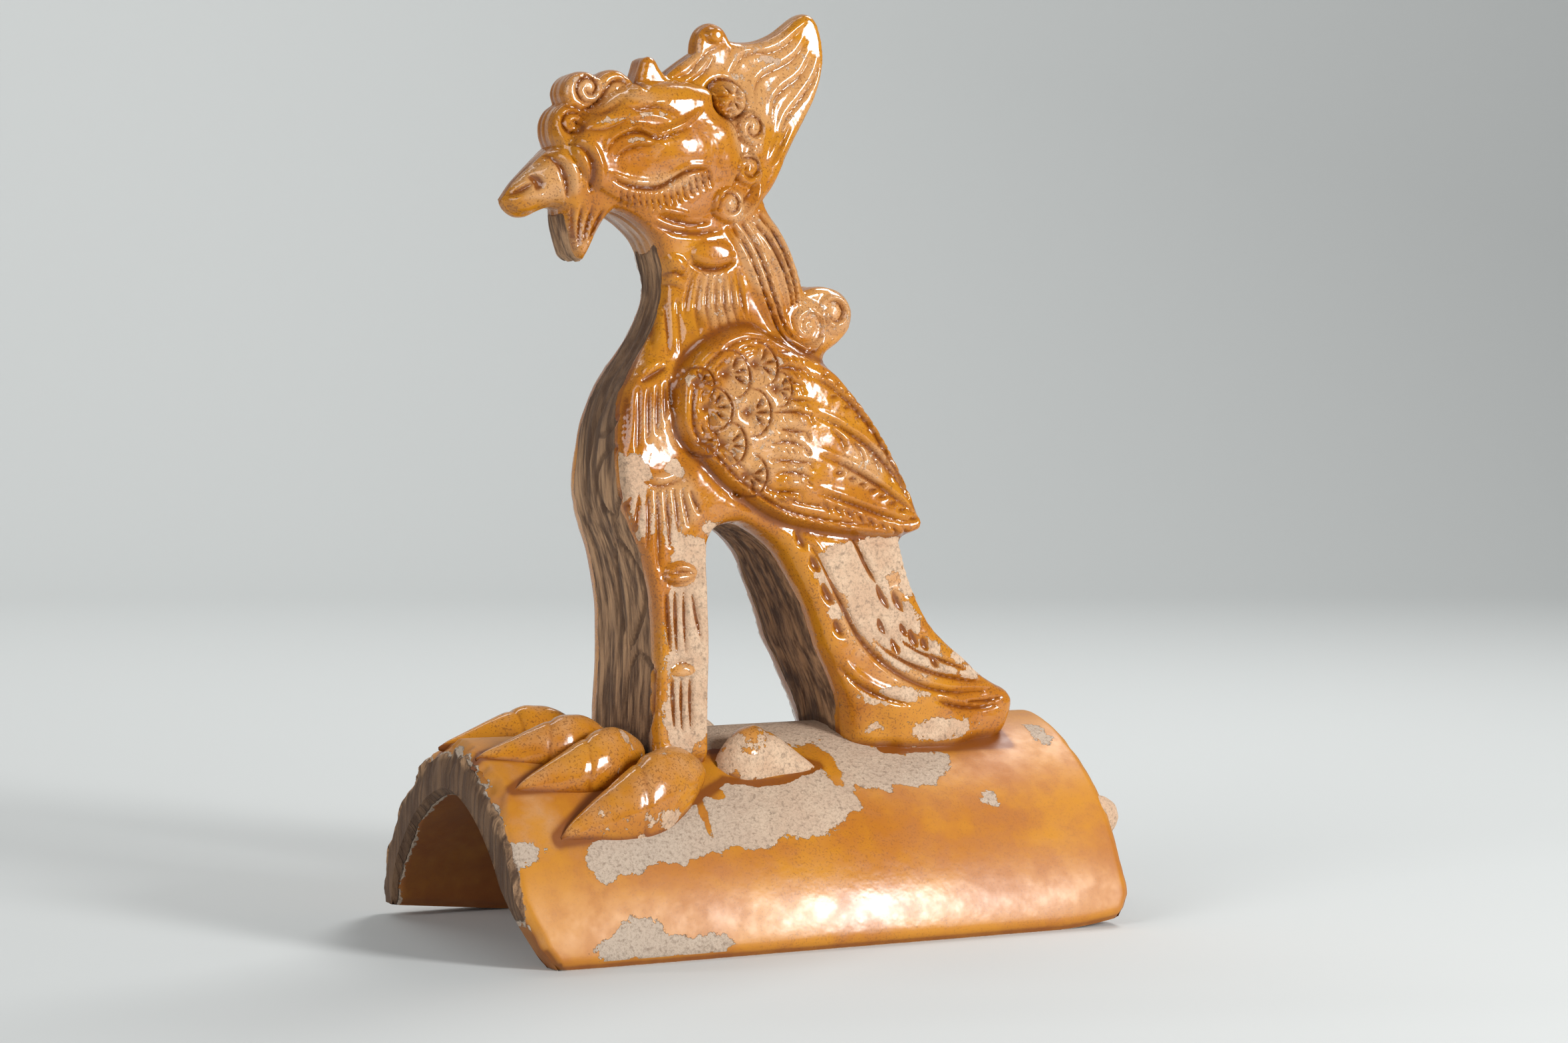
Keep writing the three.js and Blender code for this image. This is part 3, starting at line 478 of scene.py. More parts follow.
def wing_strokes():
    """The wing: two rims with dashes between them, shells, rows of short feathers, and barbs
    along the long quills."""
    strokes = []
    for inset, width, depth in ((0.11, 2.4, -1.7), (0.235, 2.0, -1.3)):
        rim = drawn_in([*WING[16:], *WING[:7]], inset)
        strokes.append((rim, width, depth, 0.2))
    rim = spline(drawn_in([*WING[19:], *WING[:6]], 0.175), 1.0)
    for first in range(4, len(rim) - 10, 13):
        strokes.append((rim[first : first + 9 : 4], 1.7, -1.2, 0.2))
    strokes += [(quill, 2.4, -1.6, 0.2) for quill in QUILLS]
    strokes += [(far(quill, 0.8, 2.3), 2.6, 0.8, 0.2) for quill in QUILLS]
    for x, z, radius, lean in SHELLS:
        arc = np.linspace(-1.75, 1.75, 15) + lean
        rim = np.stack([x + radius * 0.85 * np.cos(arc), z + radius * np.sin(arc)], axis=1)
        strokes.append((rim, 1.9, -1.7, 0.5))
        strokes.append((rim + [0.6 * math.cos(lean) - 1.6, 0.6 * math.sin(lean)], 1.9, 1.3, 0.4))
        strokes.append(([(x - radius * 0.3, z), (x - radius * 0.1, z)], 6.0, -1.7, 0.8))
        for i, spread in enumerate((-1.2, -0.8, -0.4, 0.0, 0.4, 0.8, 1.2)):
            angle = spread + lean
            start = (x + radius * 0.15 * math.cos(angle), z + radius * 0.15 * math.sin(angle))
            end = (x + radius * 0.68 * math.cos(angle), z + radius * 0.78 * math.sin(angle))
            strokes.append(([start, end], *((2.0, -1.6) if i % 2 else (2.4, 1.5)), 0.45))
    # rows of short feathers, each with a soft rib under it and three barbs
    for i in range(FEATHER_ROWS):
        z = 214.5 - 5.6 * i
        left = -5.5 - 0.45 * i + 1.8 * math.cos(i * 2.4)
        right = 7.5 - 0.1 * i + 2.0 * math.cos(i * 1.7)
        tilt = 0.8 * math.sin(i * 2.9)
        strokes.append(([(left, z), ((left + right) / 2, z - 0.2 - tilt), (right, z - 1.4)], 2.0, -1.5,
                        0.3))
        strokes.append(([(left + 1, z - 2.8), (right - 3, z - 3.4)], 3.0, 1.2, 0.3))
        for share in (0.3, 0.62, 0.9):
            x = left + share * (right - left) + math.sin(i * 5.1 + share * 9)
            strokes.append(([(x, z - 1.4), (x + 2.0, z - 4.4)], 1.6, -1.0, 0.4))
    for k, quill in enumerate(QUILLS[:3]):
        line = spline(quill, 1.0)
        for share in np.linspace(0.12, 0.86, 8 if k != 1 else 6):
            x, z = line[int(share * (len(line) - 1))]
            if k == 1:
                strokes.append(([(x + 1, z - 2.6), (x + 4.5, z - 6), (x + 6.5, z - 10.5)], 2.0, -1.2, 0.3))
            else:
                strokes.append(([(x + 1.5, z - 5.2), (x + 5.6, z - 4.6)], 2.2, -1.4, 0.4))
    line = spline(QUILLS[3], 1.0)
    for share in np.linspace(0.05, 0.92, 8):
        x, z = line[int(share * (len(line) - 1))]
        strokes.append(([(x, z - 2.6), (x + 2.2, z - 4.6), (x + 3.6, z - 6.6)], 2.0, -1.4, 0.3))
    for share in np.linspace(0.1, 0.9, 9):
        x, z = spline(QUILLS[0], 1.0)[int(share * 55)]
        strokes.append(([(x + 0.5, z + 1.6), (x + 3.4, z + 2.6)], 1.8, -1.1, 0.4))
    return strokes


def tail_strokes():
    """Long grooves that sweep down the tail, each with a soft rib, and small incised leaves."""
    long_grooves = [
        ([(6.5, 148), (12.5, 139), (19, 127), (24.5, 116), (30, 107), (38, 99), (47, 92.8), (58, 88),
          (70, 85.6), (84, 85.2), (93, 87)], 2.8),
        ([(27, 145.5), (32, 136), (37.5, 127)], 2.4),
        ([(21, 98), (27, 92), (34, 87.5), (42, 84.2), (51, 82)], 2.4),
        ([(33, 109), (41, 102.5), (51, 97), (62, 93), (75, 90), (88, 88.5)], 2.4),
        ([(61, 83.5), (70, 80.5), (80, 79), (92, 79.3)], 2.2),
        ([(45, 108), (54, 102), (66, 97.5), (78, 93)], 2.0),
        ([(75, 82), (85, 81.4), (94, 82.6)], 1.8),
    ]
    strokes = [(points, width, -1.7, 0.15) for points, width in long_grooves]
    strokes += [(far(points, 1.4, 2.4), 3.0, 0.9, 0.1) for points, _ in long_grooves[:5]]
    leaves = [
        (6, 145, 7), (11.5, 136, 7), (16, 125, 9), (20.5, 112, 7), (39, 123, 11), (45.5, 121, 9),
        (38.5, 112, 8), (48, 110.5, 6), (52, 107, 8), (44, 104.5, 7), (57, 104.5, 6), (61, 98, 6),
    ]
    for x, z, length in leaves:
        strokes.append(([(x - length * 0.16, z + length / 2), (x, z),
                         (x + length * 0.34, z - length / 2)], 3.9, -1.9, 0.05))
    return strokes


ROSETTE = (-15.5, 307.5)
CURLS = [(-6, 297), (-8, 281.8), (-17.5, 268.5)]

# Round bosses: x, z, half width, half height, how far they stand out.
BOSSES = [
    (*ROSETTE, 7.0, 7.0, 5.4), (*CURLS[0], 6.4, 6.4, 3.0), (*CURLS[1], 6.4, 6.4, 3.4),
    (*CURLS[2], 7.4, 6.8, 3.6), (-43.5, 134, 6.5, 4.6, 3.0), (-24, 250.5, 8.5, 5.0, 2.6),
    (-39.5, 246, 5.5, 4.0, 1.8), (15.5, 224.3, 9.6, 9.6, 1.4), (-42.5, 99, 5, 2.6, 1.2),
    (-53.3, 311.5, 3.4, 3.4, 1.6), (28.5, 228.5, 7.5, 8.0, 0.9), (-17.7, 331.3, 3.2, 3.2, 3.0),
]


def curl_strokes():
    """Spirals in the curls behind the cheek, and a ring with petals in the rosette."""
    strokes = []
    for centre, radius, start, turns in zip(CURLS, (4.9, 4.9, 5.4), (2.4, 2.4, 3.5), (-1.0, -1.0, -1.05)):
        strokes.append((spiral(*centre, radius, start, turns, 0.35), 1.9, -1.7, 0.6))
    strokes.append((spiral(*ROSETTE, 7.6, 0.0, 1.0, 1.0, 24), 1.9, -1.7, 1.0))
    for i in range(PETALS):
        angle = i * 2 * math.pi / PETALS + 0.4
        strokes.append((ray(ROSETTE, angle, 2.4, 5.0), 3.0, 2.2, 0.6))
        strokes.append((ray(ROSETTE, angle + math.pi / PETALS, 1.6, 5.4), 1.2, -1.3, 0.5))
    return strokes


def stroke_fields(points, strokes):
    """Heights of ribs and depths of grooves: each stroke is a bell across its line, thinned at
    the ends by the root of a sine. The highest rib and the deepest groove count."""
    ribs = np.zeros(len(points))
    cuts = np.zeros(len(points))
    for line, width, height, blunt in strokes:
        curve = spline(line, 1.6)
        margin = width * 1.6
        low, high = curve.min(axis=0) - margin, curve.max(axis=0) + margin
        near = np.nonzero(((points > low) & (points < high)).all(axis=1))[0]
        if not len(near):
            continue
        distance, along = to_line(points[near], curve)
        swell = blunt + (1 - blunt) * np.sqrt(np.clip(np.sin(math.pi * along), 0, 1))
        spread = 0.5 if height > 0 else 0.41
        shape = bell(distance, width * spread * swell) * swell
        if height > 0:
            ribs[near] = np.maximum(ribs[near], height * shape)
        else:
            cuts[near] = np.maximum(cuts[near], -height * shape)
    return ribs, cuts


def boss_heights(points):
    """Rounded bosses: height times the root of 1 minus the fourth power of the share out."""
    total = np.zeros(len(points))
    for x, z, wide, high, out in BOSSES:
        share = np.hypot((points[:, 0] - x) / wide, (points[:, 1] - z) / high)
        total = np.maximum(total, out * np.sqrt(np.clip(1 - share**4, 0, 1)))
    return total


# Places where the glaze is gone or worn thin: x, z, half width, half height.
BARE_NEAR = [
    (-39.5, 113, 10, 31), (-41, 84, 9.5, 15), (-33, 80, 3, 8), (-60, 168, 7, 11), (-57, 154, 4, 7),
    (-38, 141, 8, 7), (-47, 150, 4, 6), (37, 74, 3.4, 2.6), (66, 72, 14, 4.5), (53, 64, 3.5, 2),
    (24, 134, 13, 10), (38, 138, 13, 8), (34, 120, 10, 14), (44, 112, 11, 11), (52, 101, 13, 6),
    (44, 86, 13, 3.6), (64, 95, 9, 3), (76, 93, 6, 3), (20, 117, 2.2, 6), (72, 100, 5, 2.5),
    (-38, 204, 2.0, 3), (-22, 181, 2, 2), (-32, 193, 2, 2.4), (-52, 300.6, 3, 0.3), (-64, 298.6, 2, 0.3),
    (-57, 292, 2.0, 0.4), (3, 323, 5, 1.4), (-44, 172, 3, 3), (-72, 314, 3, 1.5), (-5, 212, 2, 2),
    (50, 128, 3.5, 7), (-30, 150, 4, 3), (-15, 176, 1.5, 1.5), (20, 187, 1.6, 1.2),
]
BARE_FAR = [
    (-40, 95, 8, 16), (-58, 165, 6, 10), (40, 120, 8, 12), (60, 84, 12, 5), (-20, 170, 8, 4),
    (-30, 215, 7, 4), (5, 320, 7, 3), (-45, 300, 6, 2.5), (20, 190, 6, 4), (-45, 200, 4, 7),
]
THIN_NEAR = [
    (-23, 234, 11, 13), (5, 315, 24, 20), (-20, 322, 16, 8), (-14, 190, 17, 28), (2, 178, 9, 16),
    (34, 122, 17, 24), (48, 138, 8, 10), (-45, 160, 12, 14), (-38, 110, 12, 36), (52, 96, 20, 9),
    (26, 229, 9, 9), (6, 248, 9, 18), (-48, 186, 10, 12), (30, 172, 14, 10), (-68, 310, 18, 8),
    (-55, 308, 26, 4), (-40, 84, 12, 14), (-86, 276, 14, 10), (-10, 298, 10, 18), (-15, 268, 8, 8),
    (24, 228, 16, 13), (-4, 252, 12, 16), (-75, 258, 7, 10), (-44, 276, 24, 6),
]


# How the figure's faces are modelled, in millimetres.
FULLNESS_REACH = 11.0
SKULL_EDGE = 8.0
TRENCH_DEPTH = 1.2
PILLOW = 1.3
FOOT_SINK = 2.4
LEAST_HALF = 2.0
# Soft swellings of the face: x, z, half width, half height, how far they stand out.
CHEEK = (-36, 288, 22, 13, 3.0)
EYEBALL = (-54, 291.6, 9, 3.2, 1.6)

FIELDS = ("pool", "thin", "bare", "grey", "dull")


def swelling(points, x, z, wide, high, out):
    """A soft swelling: a bell of the share out from its middle."""
    return out * bell(np.hypot((points[:, 0] - x) / wide, (points[:, 1] - z) / high), 0.8)


def surface_fields(shape, **values):
    """The fields that the glaze reads, spread over a surface. One that isn't given is zero."""
    return {key: np.broadcast_to(values.get(key, 0.0), shape).ravel() for key in FIELDS}


def figure_face(points, edge, side):
    """Half-thickness of the figure and its surface fields at sheet points. It is the blended
    fullness, plus the wing's plate, bosses and ribs, less grooves, and rounded at the outline:
    radius minus the root of radius^2 - (radius - distance)^2."""
    half, radius = blended(points, FULLNESS, FULLNESS_REACH).T
    skull = to_outline(points, spline(SKULL, 2.5, closed=True))
    skull = np.clip(skull + 1.0, 0, SKULL_EDGE) / SKULL_EDGE
    half = half + (np.maximum(SKULL_HALF, half) - half) * np.sqrt(1 - (1 - skull) ** 2)
    wing = to_outline(points, spline(WING, 2.5, closed=True))
    plate = WING_RELIEF * smooth(wing, -0.6, 2.4)
    pillow = PILLOW * smooth(wing, 2.0, 16.0)
    trench = TRENCH_DEPTH * bell(wing + 1.6, 2.2)
    ribs, cuts = stroke_fields(points, [
        *head_strokes(), *crest_strokes(), *neck_strokes(), *wing_strokes(), *tail_strokes(),
        *curl_strokes(),
    ])
    bosses = boss_heights(points)
    face = swelling(points, *CHEEK) + swelling(points, *EYEBALL)
    spots = np.column_stack([points, np.full(len(points), 40.0 * side)])
    waver = 0.35 * layered(spots, 14, 3) + 0.10 * noise(spots, 3.0, 8)
    depth = np.minimum(edge, radius) / radius
    drop = radius * (1 - np.sqrt(1 - (1 - depth) ** 2))
    relief = plate + pillow - trench + bosses + face + ribs - cuts
    full = half + relief * (0.35 + 0.65 * smooth(edge, 0.0, 2.2)) + waver - drop
    # the foot and the tail sink a little where they meet the tile
    clear = points[:, 1] - tile_top(half)
    full -= FOOT_SINK * bell(clear - 0.5, 3.0)
    # darker glaze: pooled in the grooves, painted shadow along the wing's edge, and pooled glaze with
    # painted shade where the figure meets the tile
    pool = np.clip(cuts / 1.7, 0, 1) ** 1.6 + 0.8 * bell(wing + 1.2, 1.6) + bell(clear, 3.2)
    # pooled glaze with painted shade round the feet of the bosses
    pool += 0.5 * bell(np.clip(bosses, 0, 1) - 0.35, 0.35)
    worn = ellipses(points, BARE_NEAR if side < 0 else BARE_FAR)
    fields = surface_fields(
        edge.shape,
        pool=np.clip(pool, 0, 1.3),
        thin=np.clip(ellipses(points, THIN_NEAR) / 7.0, -0.4, 1) + 0.35 * np.clip(ribs / 1.6, 0, 1),
        bare=worn - 15.0 * np.clip(cuts / 1.5 - 0.3, 0, 1) - 9.0 * np.clip(bosses / 1.5, 0, 1),
        grey=smooth(1.2 - edge, -0.8, 1.2) * 0.35,
    )
    return np.maximum(full, LEAST_HALF), fields


def filled(outline, spacing):
    """Points of a triangular grid inside an outline, and the triangles of the outline with
    them, by constrained Delaunay triangulation. Also each point's distance to the outline."""
    low, high = outline.min(axis=0), outline.max(axis=0)
    rows = np.arange(low[1], high[1], spacing * math.sqrt(3) / 2)
    columns = np.arange(low[0], high[0], spacing)
    x, z = np.meshgrid(columns, rows)
    x = x + (np.arange(len(rows)) % 2)[:, None] * spacing / 2
    grid = np.column_stack([x.ravel(), z.ravel()])
    inside = to_outline(grid, outline)
    grid, inside = grid[inside > spacing * 0.8], inside[inside > spacing * 0.8]
    points = np.concatenate([outline, grid])
    edges = [(i, (i + 1) % len(outline)) for i in range(len(outline))]
    made = delaunay_2d_cdt(list(map(Vector, points)), edges, [], 1, 1e-5)
    corners = np.array([tuple(corner) for corner in made[0]])
    if len(corners) != len(points) or np.abs(corners - points).max() > 1e-3:
        raise RuntimeError("the figure's outline crosses itself")
    return points, np.array(made[2]), np.concatenate([np.zeros(len(outline)), inside])


# Long leaves scored into the breast's front wall: (height, place across the wall).
WALL_LEAVES = [
    ([(181, -17.6), (173, -23), (163, -22.5), (154, -15)], 3.0, -1.1, 0.3),
    ([(154, -15), (159, -5), (168, -2), (176, -8), (181, -17.6)], 3.0, -1.0, 0.3),
    ([(147, -8), (139, -17.5), (131, -22), (124, -21), (114, -14), (104, -5)], 3.2, -1.2, 0.3),
    ([(147, -8), (136, -1), (124, 2), (113, 0), (102, -4)], 2.8, -0.9, 0.3),
    ([(105, -13), (99, -26), (90, -27.5), (82, -26), (72, -20)], 3.0, -1.1, 0.3),
    ([(105, -13), (96, -5.5), (84, -4), (72, -8)], 2.8, -0.9, 0.3),
    ([(200, -6), (190, 2), (178, 5), (165, 8), (150, 6)], 2.8, -0.9, 0.3),
    ([(195, -20), (185, -10), (184, -2)], 2.4, -0.8, 0.3),
]


# The figure's walls, in millimetres: the breast's front wall lies left of its line.
BREAST_LINE = -38
WALL_SWELL = 0.5
SCORE_DEPTH = 0.55
SCORE_STRETCH = 9.0
LEAF_SHARE = 1.3


def around(index):
    """Quads between the rows of a grid of point numbers whose rows close on themselves."""
    following = np.roll(index, -1, axis=1)
    return np.stack([index[:-1], following[:-1], following[1:], index[1:]], axis=-1).reshape(-1, 4)


def ring_quads(rows, turns):
    """Quads of rings in a row, where the first and the last ring are each one point."""
    index = np.arange((rows + 1) * turns).reshape(rows + 1, turns)
    index[0] = index[0, 0]
    index[-1] = index[-1, 0]
    return around(index)


def figure_surface(settings):
    """The whole figure: two relief faces over the outline and a wall between their borders.
    The wall runs straight across the thickness, swelled a little and scored along its length."""
    outline = spline(OUTLINE, settings.border_step, closed=True)
    following = np.roll(outline, -1, axis=0)
    if np.sum(outline[:, 0] * following[:, 1] - following[:, 0] * outline[:, 1]) < 0:
        outline = outline[::-1]
    count = len(outline)
    places, faces, fields = [], [], []
    first = 0
    borders = []
    # one face a side: mirrored, finer on the near side
    for side, spacing in ((-1, settings.near_step), (1, settings.far_step)):
        points, triangles, edge = filled(outline, spacing)
        half, field = figure_face(points, edge, side)
        places.append(np.column_stack([points[:, 0], side * half, points[:, 1]]))
        faces.append((triangles if side < 0 else triangles[:, ::-1]) + first)
        fields.append(field)
        borders.append((first, half[:count]))
        first += len(points)
    rows = settings.wall_rows
    tangent = np.roll(outline, -1, axis=0) - np.roll(outline, 1, axis=0)
    tangent /= np.linalg.norm(tangent, axis=1, keepdims=True)
    outward = np.column_stack([tangent[:, 1], -tangent[:, 0]])
    step = np.linalg.norm(np.roll(outline, -1, axis=0) - outline, axis=1)
    travel = np.cumsum(step) - step[0]
    across = np.linspace(0, 1, rows + 1)[1:-1, None]
    y = -borders[0][1] * (1 - across) + borders[1][1] * across
    spot = np.stack([np.broadcast_to(travel / SCORE_STRETCH, y.shape), y, np.zeros_like(y)], axis=-1)
    score = layered(spot + layered(spot, 12, 5)[..., None] * 2.0, 4.5, 21)
    score += 0.7 * noise(spot * [0.6, 1, 1], 2.2, 31)
    front = np.broadcast_to(outline[:, 0] < BREAST_LINE, y.shape)
    heights = np.broadcast_to(outline[:, 1], y.shape)
    leaves = np.zeros(y.shape)
    leaves[front] = stroke_fields(np.column_stack([heights[front], y[front]]), WALL_LEAVES)[1]
    swell = np.sin(math.pi * across) ** 0.5
    reach = WALL_SWELL * swell + SCORE_DEPTH * score * np.minimum(1, swell * 1.4) - LEAF_SHARE * leaves
    x, z = (outline[:, k] + outward[:, k] * reach for k in (0, 1))
    wall = np.stack([x, y, z], axis=-1)
    places.append(wall.reshape(-1, 3))
    index = np.empty((rows + 1, count), int)
    index[0] = borders[0][0] + np.arange(count)
    index[-1] = borders[1][0] + np.arange(count)
    index[1:-1] = first + np.arange((rows - 1) * count).reshape(rows - 1, count)
    quads = around(index)
    faces += [quads[:, [0, 3, 2]], quads[:, [0, 2, 1]]]
    # bare scored clay, but for the glazed edges and what ran over from the two faces
    glazed = glazed_walls(outline)
    edge_gap = (borders[0][1] + borders[1][1]) * np.minimum(across, 1 - across)
    spill = layered(wall.reshape(-1, 3), 24, 91).reshape(y.shape)
    sharp = 1 + 2.0 * smooth(outline[:, 1], 212, 226)
    scored = smooth((edge_gap + 3.5 * spill) * sharp, 0.6, 7.0) * (1 - 1.2 * glazed)
    low = np.clip(-score, 0, 1)
    # painted shade where the wall meets the tile, then painted shade on the glazed walls and on the
    # breast's upper front wall
    seam_shade = bell(z - tile_top(y), 2.6)
    shade = 0.40 * glazed + 0.75 * bell(z - 208, 30) * (x < -40)
    fields.append(surface_fields(
        y.shape,
        pool=low * 0.5 + seam_shade + shade + 1.1 * leaves,
        thin=0.25 - 0.5 * low,
        bare=-6.0,
        grey=scored - 0.25 * (spill > 0.45),
        dull=0.4,
    ))
    merged = {key: np.concatenate([field[key] for field in fields]) for key in fields[0]}
    return np.concatenate(places), np.concatenate(faces), merged


def glazed_walls(outline):
    """How glazed the wall is along the outline: the beak, the head's top and the back edges
    of crest, locks, wings and tail took glaze, while breast, throat and arch stayed bare."""
    x, z = outline.T
    head = smooth(z, 246, 262)
    back = smooth(x, -8, -2) * smooth(z, 150, 156)
    tail = smooth(x, 44, 50) * (1 - smooth(z, 146, 150))
    beard = smooth(-x, 58, 63) * smooth(-z, -268, -262)
    return np.clip(head * (1 - beard) + back + tail, 0, 1)


# The tile, its toes and the broken stub


def block_surface(counts, place):
    """The surface of a block of cells, bent by a function of three shares from 0 to 1.
    Corners are numbered on one lattice, so that the six sides close without seams."""
    counts = np.array(counts)
    corners, quads = [], []
    for axis in range(3):
        u, v = (axis + 1) % 3, (axis + 2) % 3
        for end in (0, 1):
            grid = np.zeros((counts[u] + 1, counts[v] + 1, 3), int)
            grid[..., u] = np.arange(counts[u] + 1)[:, None]
            grid[..., v] = np.arange(counts[v] + 1)[None, :]
            grid[..., axis] = end * counts[axis]
            key = (grid[..., 0] * (counts[1] + 1) + grid[..., 1]) * (counts[2] + 1) + grid[..., 2]
            corners.append(grid.reshape(-1, 3))
            quad = np.stack([key[:-1, :-1], key[1:, :-1], key[1:, 1:], key[:-1, 1:]], axis=-1).reshape(-1,
                                                                                                       4)
            quads.append(quad if end else quad[:, ::-1])
    corners = np.concatenate(corners)
    keys = (corners[:, 0] * (counts[1] + 1) + corners[:, 1]) * (counts[2] + 1) + corners[:, 2]
    unique, first = np.unique(keys, return_index=True)
    faces = np.searchsorted(unique, np.concatenate(quads))
    return place(*(corners[first] / counts).T), faces


# Outlines of the bare patches on the tile's near flank: x, z.
PATCHES = [
    [(-92, 42), (-87, 45), (-80, 45), (-71, 50), (-63, 52), (-56, 50), (-49, 54), (-44, 55), (-39, 59),
     (-33, 60), (-24, 58), (-18, 56), (-11, 60), (2, 61), (11, 60), (14, 55), (19, 59), (18, 63),
     (16, 67), (18, 71), (31, 71), (38, 66), (52, 65), (63, 64), (66, 61), (63, 57), (57, 56),
     (54, 54), (47, 53), (40, 54), (30, 53), (22, 54), (19, 52), (20, 48), (16, 46), (8, 42), (2, 39),
     (-10, 39), (-19, 38), (-28, 36), (-36, 37), (-43, 35), (-51, 36), (-57, 33), (-65, 34),
     (-74, 32), (-82, 30), (-89, 29), (-92, 33)],
    [(-123, 43), (-115, 44), (-108, 41), (-112, 36), (-119, 35), (-125, 36)],
    [(-98, 6), (-92, 10), (-86, 12), (-84, 16), (-76, 17), (-70, 14), (-66, 10), (-60, 9), (-52, 9),
     (-45, 7), (-42, 5), (-47, 2), (-62, 2), (-77, 2), (-92, 1)],
    [(70, 48), (77, 49), (77, 46), (70, 46)],
    [(108, 69), (114, 69), (115, 66), (111, 64), (107, 66)],
]


# Glazed islands left in the near flank's bare patches, and bare places on the far flank.
ISLANDS = [(-36, 55, 3.5, 2), (-43, 50, 1.4, 6), (-62, 46, 1.5, 1.5)]
FLANK_FAR = [(-60, 40, 26, 10), (30, 52, 34, 8), (90, 12, 18, 7), (-20, 12, 12, 5)]
NOWHERE = -30.0

# The barrel's worn ends, in millimetres: how far edges and corners are rounded, knocked back
# along the tile, or lifted off the ground.
ARCH_STEPS = 400
END_ROUNDING = 2.6
EDGE_ROUNDING = 2.4
NEAR_KNOCK = 12.5
FAR_KNOCK = 1.0
CROWN_KNOCK = 5.5
FACE_KNOCK = 1.3
FRONT_LIFT = 5.0
BACK_LIFT = 4.0


def barrel_surface(settings):
    """The half barrel as a bent block: along the arch, through the wall and along the tile.
    The outer face wavers, the front edge is knocked back and two corners lift."""
    outer = arch(TILE_WIDTH, TILE_HEIGHT, ARCH_STEPS)
    inner = arch(TILE_WIDTH - 2 * settings.flank_wall, TILE_HEIGHT - settings.crown_wall, ARCH_STEPS)
    marks = np.linspace(0, 1, ARCH_STEPS + 1)

    def place(over, through, along):
        outside, inside = (
            np.column_stack([np.interp(over, marks, line[:, k]) for k in (0, 1)]) for line in (outer, inner)
        )
        y, z = (inside + (outside - inside) * through[:, None]).T
        x = -END + TILE_LENGTH * along
        spot = np.column_stack([x, y, z])
        rise = z
        # round the long edges and both ends, and let the outer face waver
        near_end = np.minimum(x + END, END - x)
        lean = (0.5 - through) * 2
        pull = END_ROUNDING * bell(near_end, 1.8) + EDGE_ROUNDING * bell(rise, 2.2)
        out = spot[:, 1:] - np.column_stack([y * 0.55, z * 0.2])
        out /= np.maximum(np.linalg.norm(out, axis=1, keepdims=True), 1e-6)
        wave = 0.4 * layered(spot, 60, 41, 2) + 0.03 * layered(spot, 12, 44)
        face = smooth(through, 0.98, 1.0)
        shift = lean * pull * smooth(np.abs(lean), 0.55, 1.0) + face * wave - (1 - face) * 0.2
        y = y + out[:, 0] * shift
        z = z + out[:, 1] * shift * smooth(rise, 0.5, 6.0)
        # knocked front: the near corner below, the crown's edge and the far shoulder
        low = np.clip(1 - rise / 27, 0, 1)
        ragged = np.clip(0.6 + layered(spot * [0, 1, 1], 9, 51), 0, 2)
        crown = smooth(rise, 46, 66) * smooth(through, 0.35, 1.0)
        rough = 0.5 * layered(spot, 4, 47) + 0.4
        knock = NEAR_KNOCK * low**1.6 * (y < 0) + FAR_KNOCK * low**2 * (y > 0)
        knock = knock + CROWN_KNOCK * crown * ragged + FACE_KNOCK * ragged * smooth(through, 0.6, 1)
        knock = knock + 0.8 * rough * smooth(np.minimum(through, 1 - through) * 17, 0, 1)
        x = x + knock * bell(along, 0.055)
        rear = np.clip(0.5 + 0.8 * layered(spot * [0, 1, 1], 12, 57), 0, 2)
        x = x - (1.2 * rear + 3.0 * np.clip(1 - rise / 9, 0, 1) * (y < 0)) * bell(1 - along, 0.03)
        # the far front corner and the near back corner lift off the ground
        foot = np.clip(1 - rise / 30, 0, 1)
        z = z + FRONT_LIFT * np.clip(1 - (x + END) / 50, 0, 1) * (y > 0) * foot
        z = z + BACK_LIFT * np.clip(1 - (END - x) / 30, 0, 1) ** 1.5 * (y < 0) * foot
        return np.column_stack([x, y, np.maximum(z, 0.0)])

    counts = (settings.arch_cells, 8, settings.length_cells)
    return block_surface(counts, place)


# Toes: root x, y, tip x, y, knuckle height, half width, how worn.
TOES = [
    (-62, -13, -119.5, -19, 14, 8.2, 0.4), (-53, -21, -112, -37.5, 14.5, 8.6, 0.5),
    (-35, -33, -101.5, -55, 16, 9.8, 0.62), (-30, -31, 10, -35, 13, 9.2, 0.8),
]


# The leg and the tail on the ground plan: x from, x to, half width.
FEET = ((-52, -31, 26), (41, 94, 29))


def footprint(points):
    """Distance on the ground plan from points (x, y) to the nearest toe, leg or tail foot."""
    result = np.full(len(points), 99.0)
    for side in (-1, 1):
        for root_x, root_y, tip_x, tip_y, _, wide, _ in TOES:
            line = np.array([(root_x, -side * root_y), (tip_x, -side * tip_y)])
            distance, along = to_line(points, line)
            reach = np.interp(along, [0, 0.3, 0.6, 1], [wide * 0.8, wide, wide * 0.8, 0.6])
            result = np.minimum(result, distance - reach)
    for left, right, half in FEET:
        gap_x = np.maximum(np.maximum(left - points[:, 0], points[:, 0] - right), 0)
        gap_y = np.maximum(np.abs(points[:, 1]) - half, 0)
        result = np.minimum(result, np.hypot(gap_x, gap_y) - 0.5)
    return result


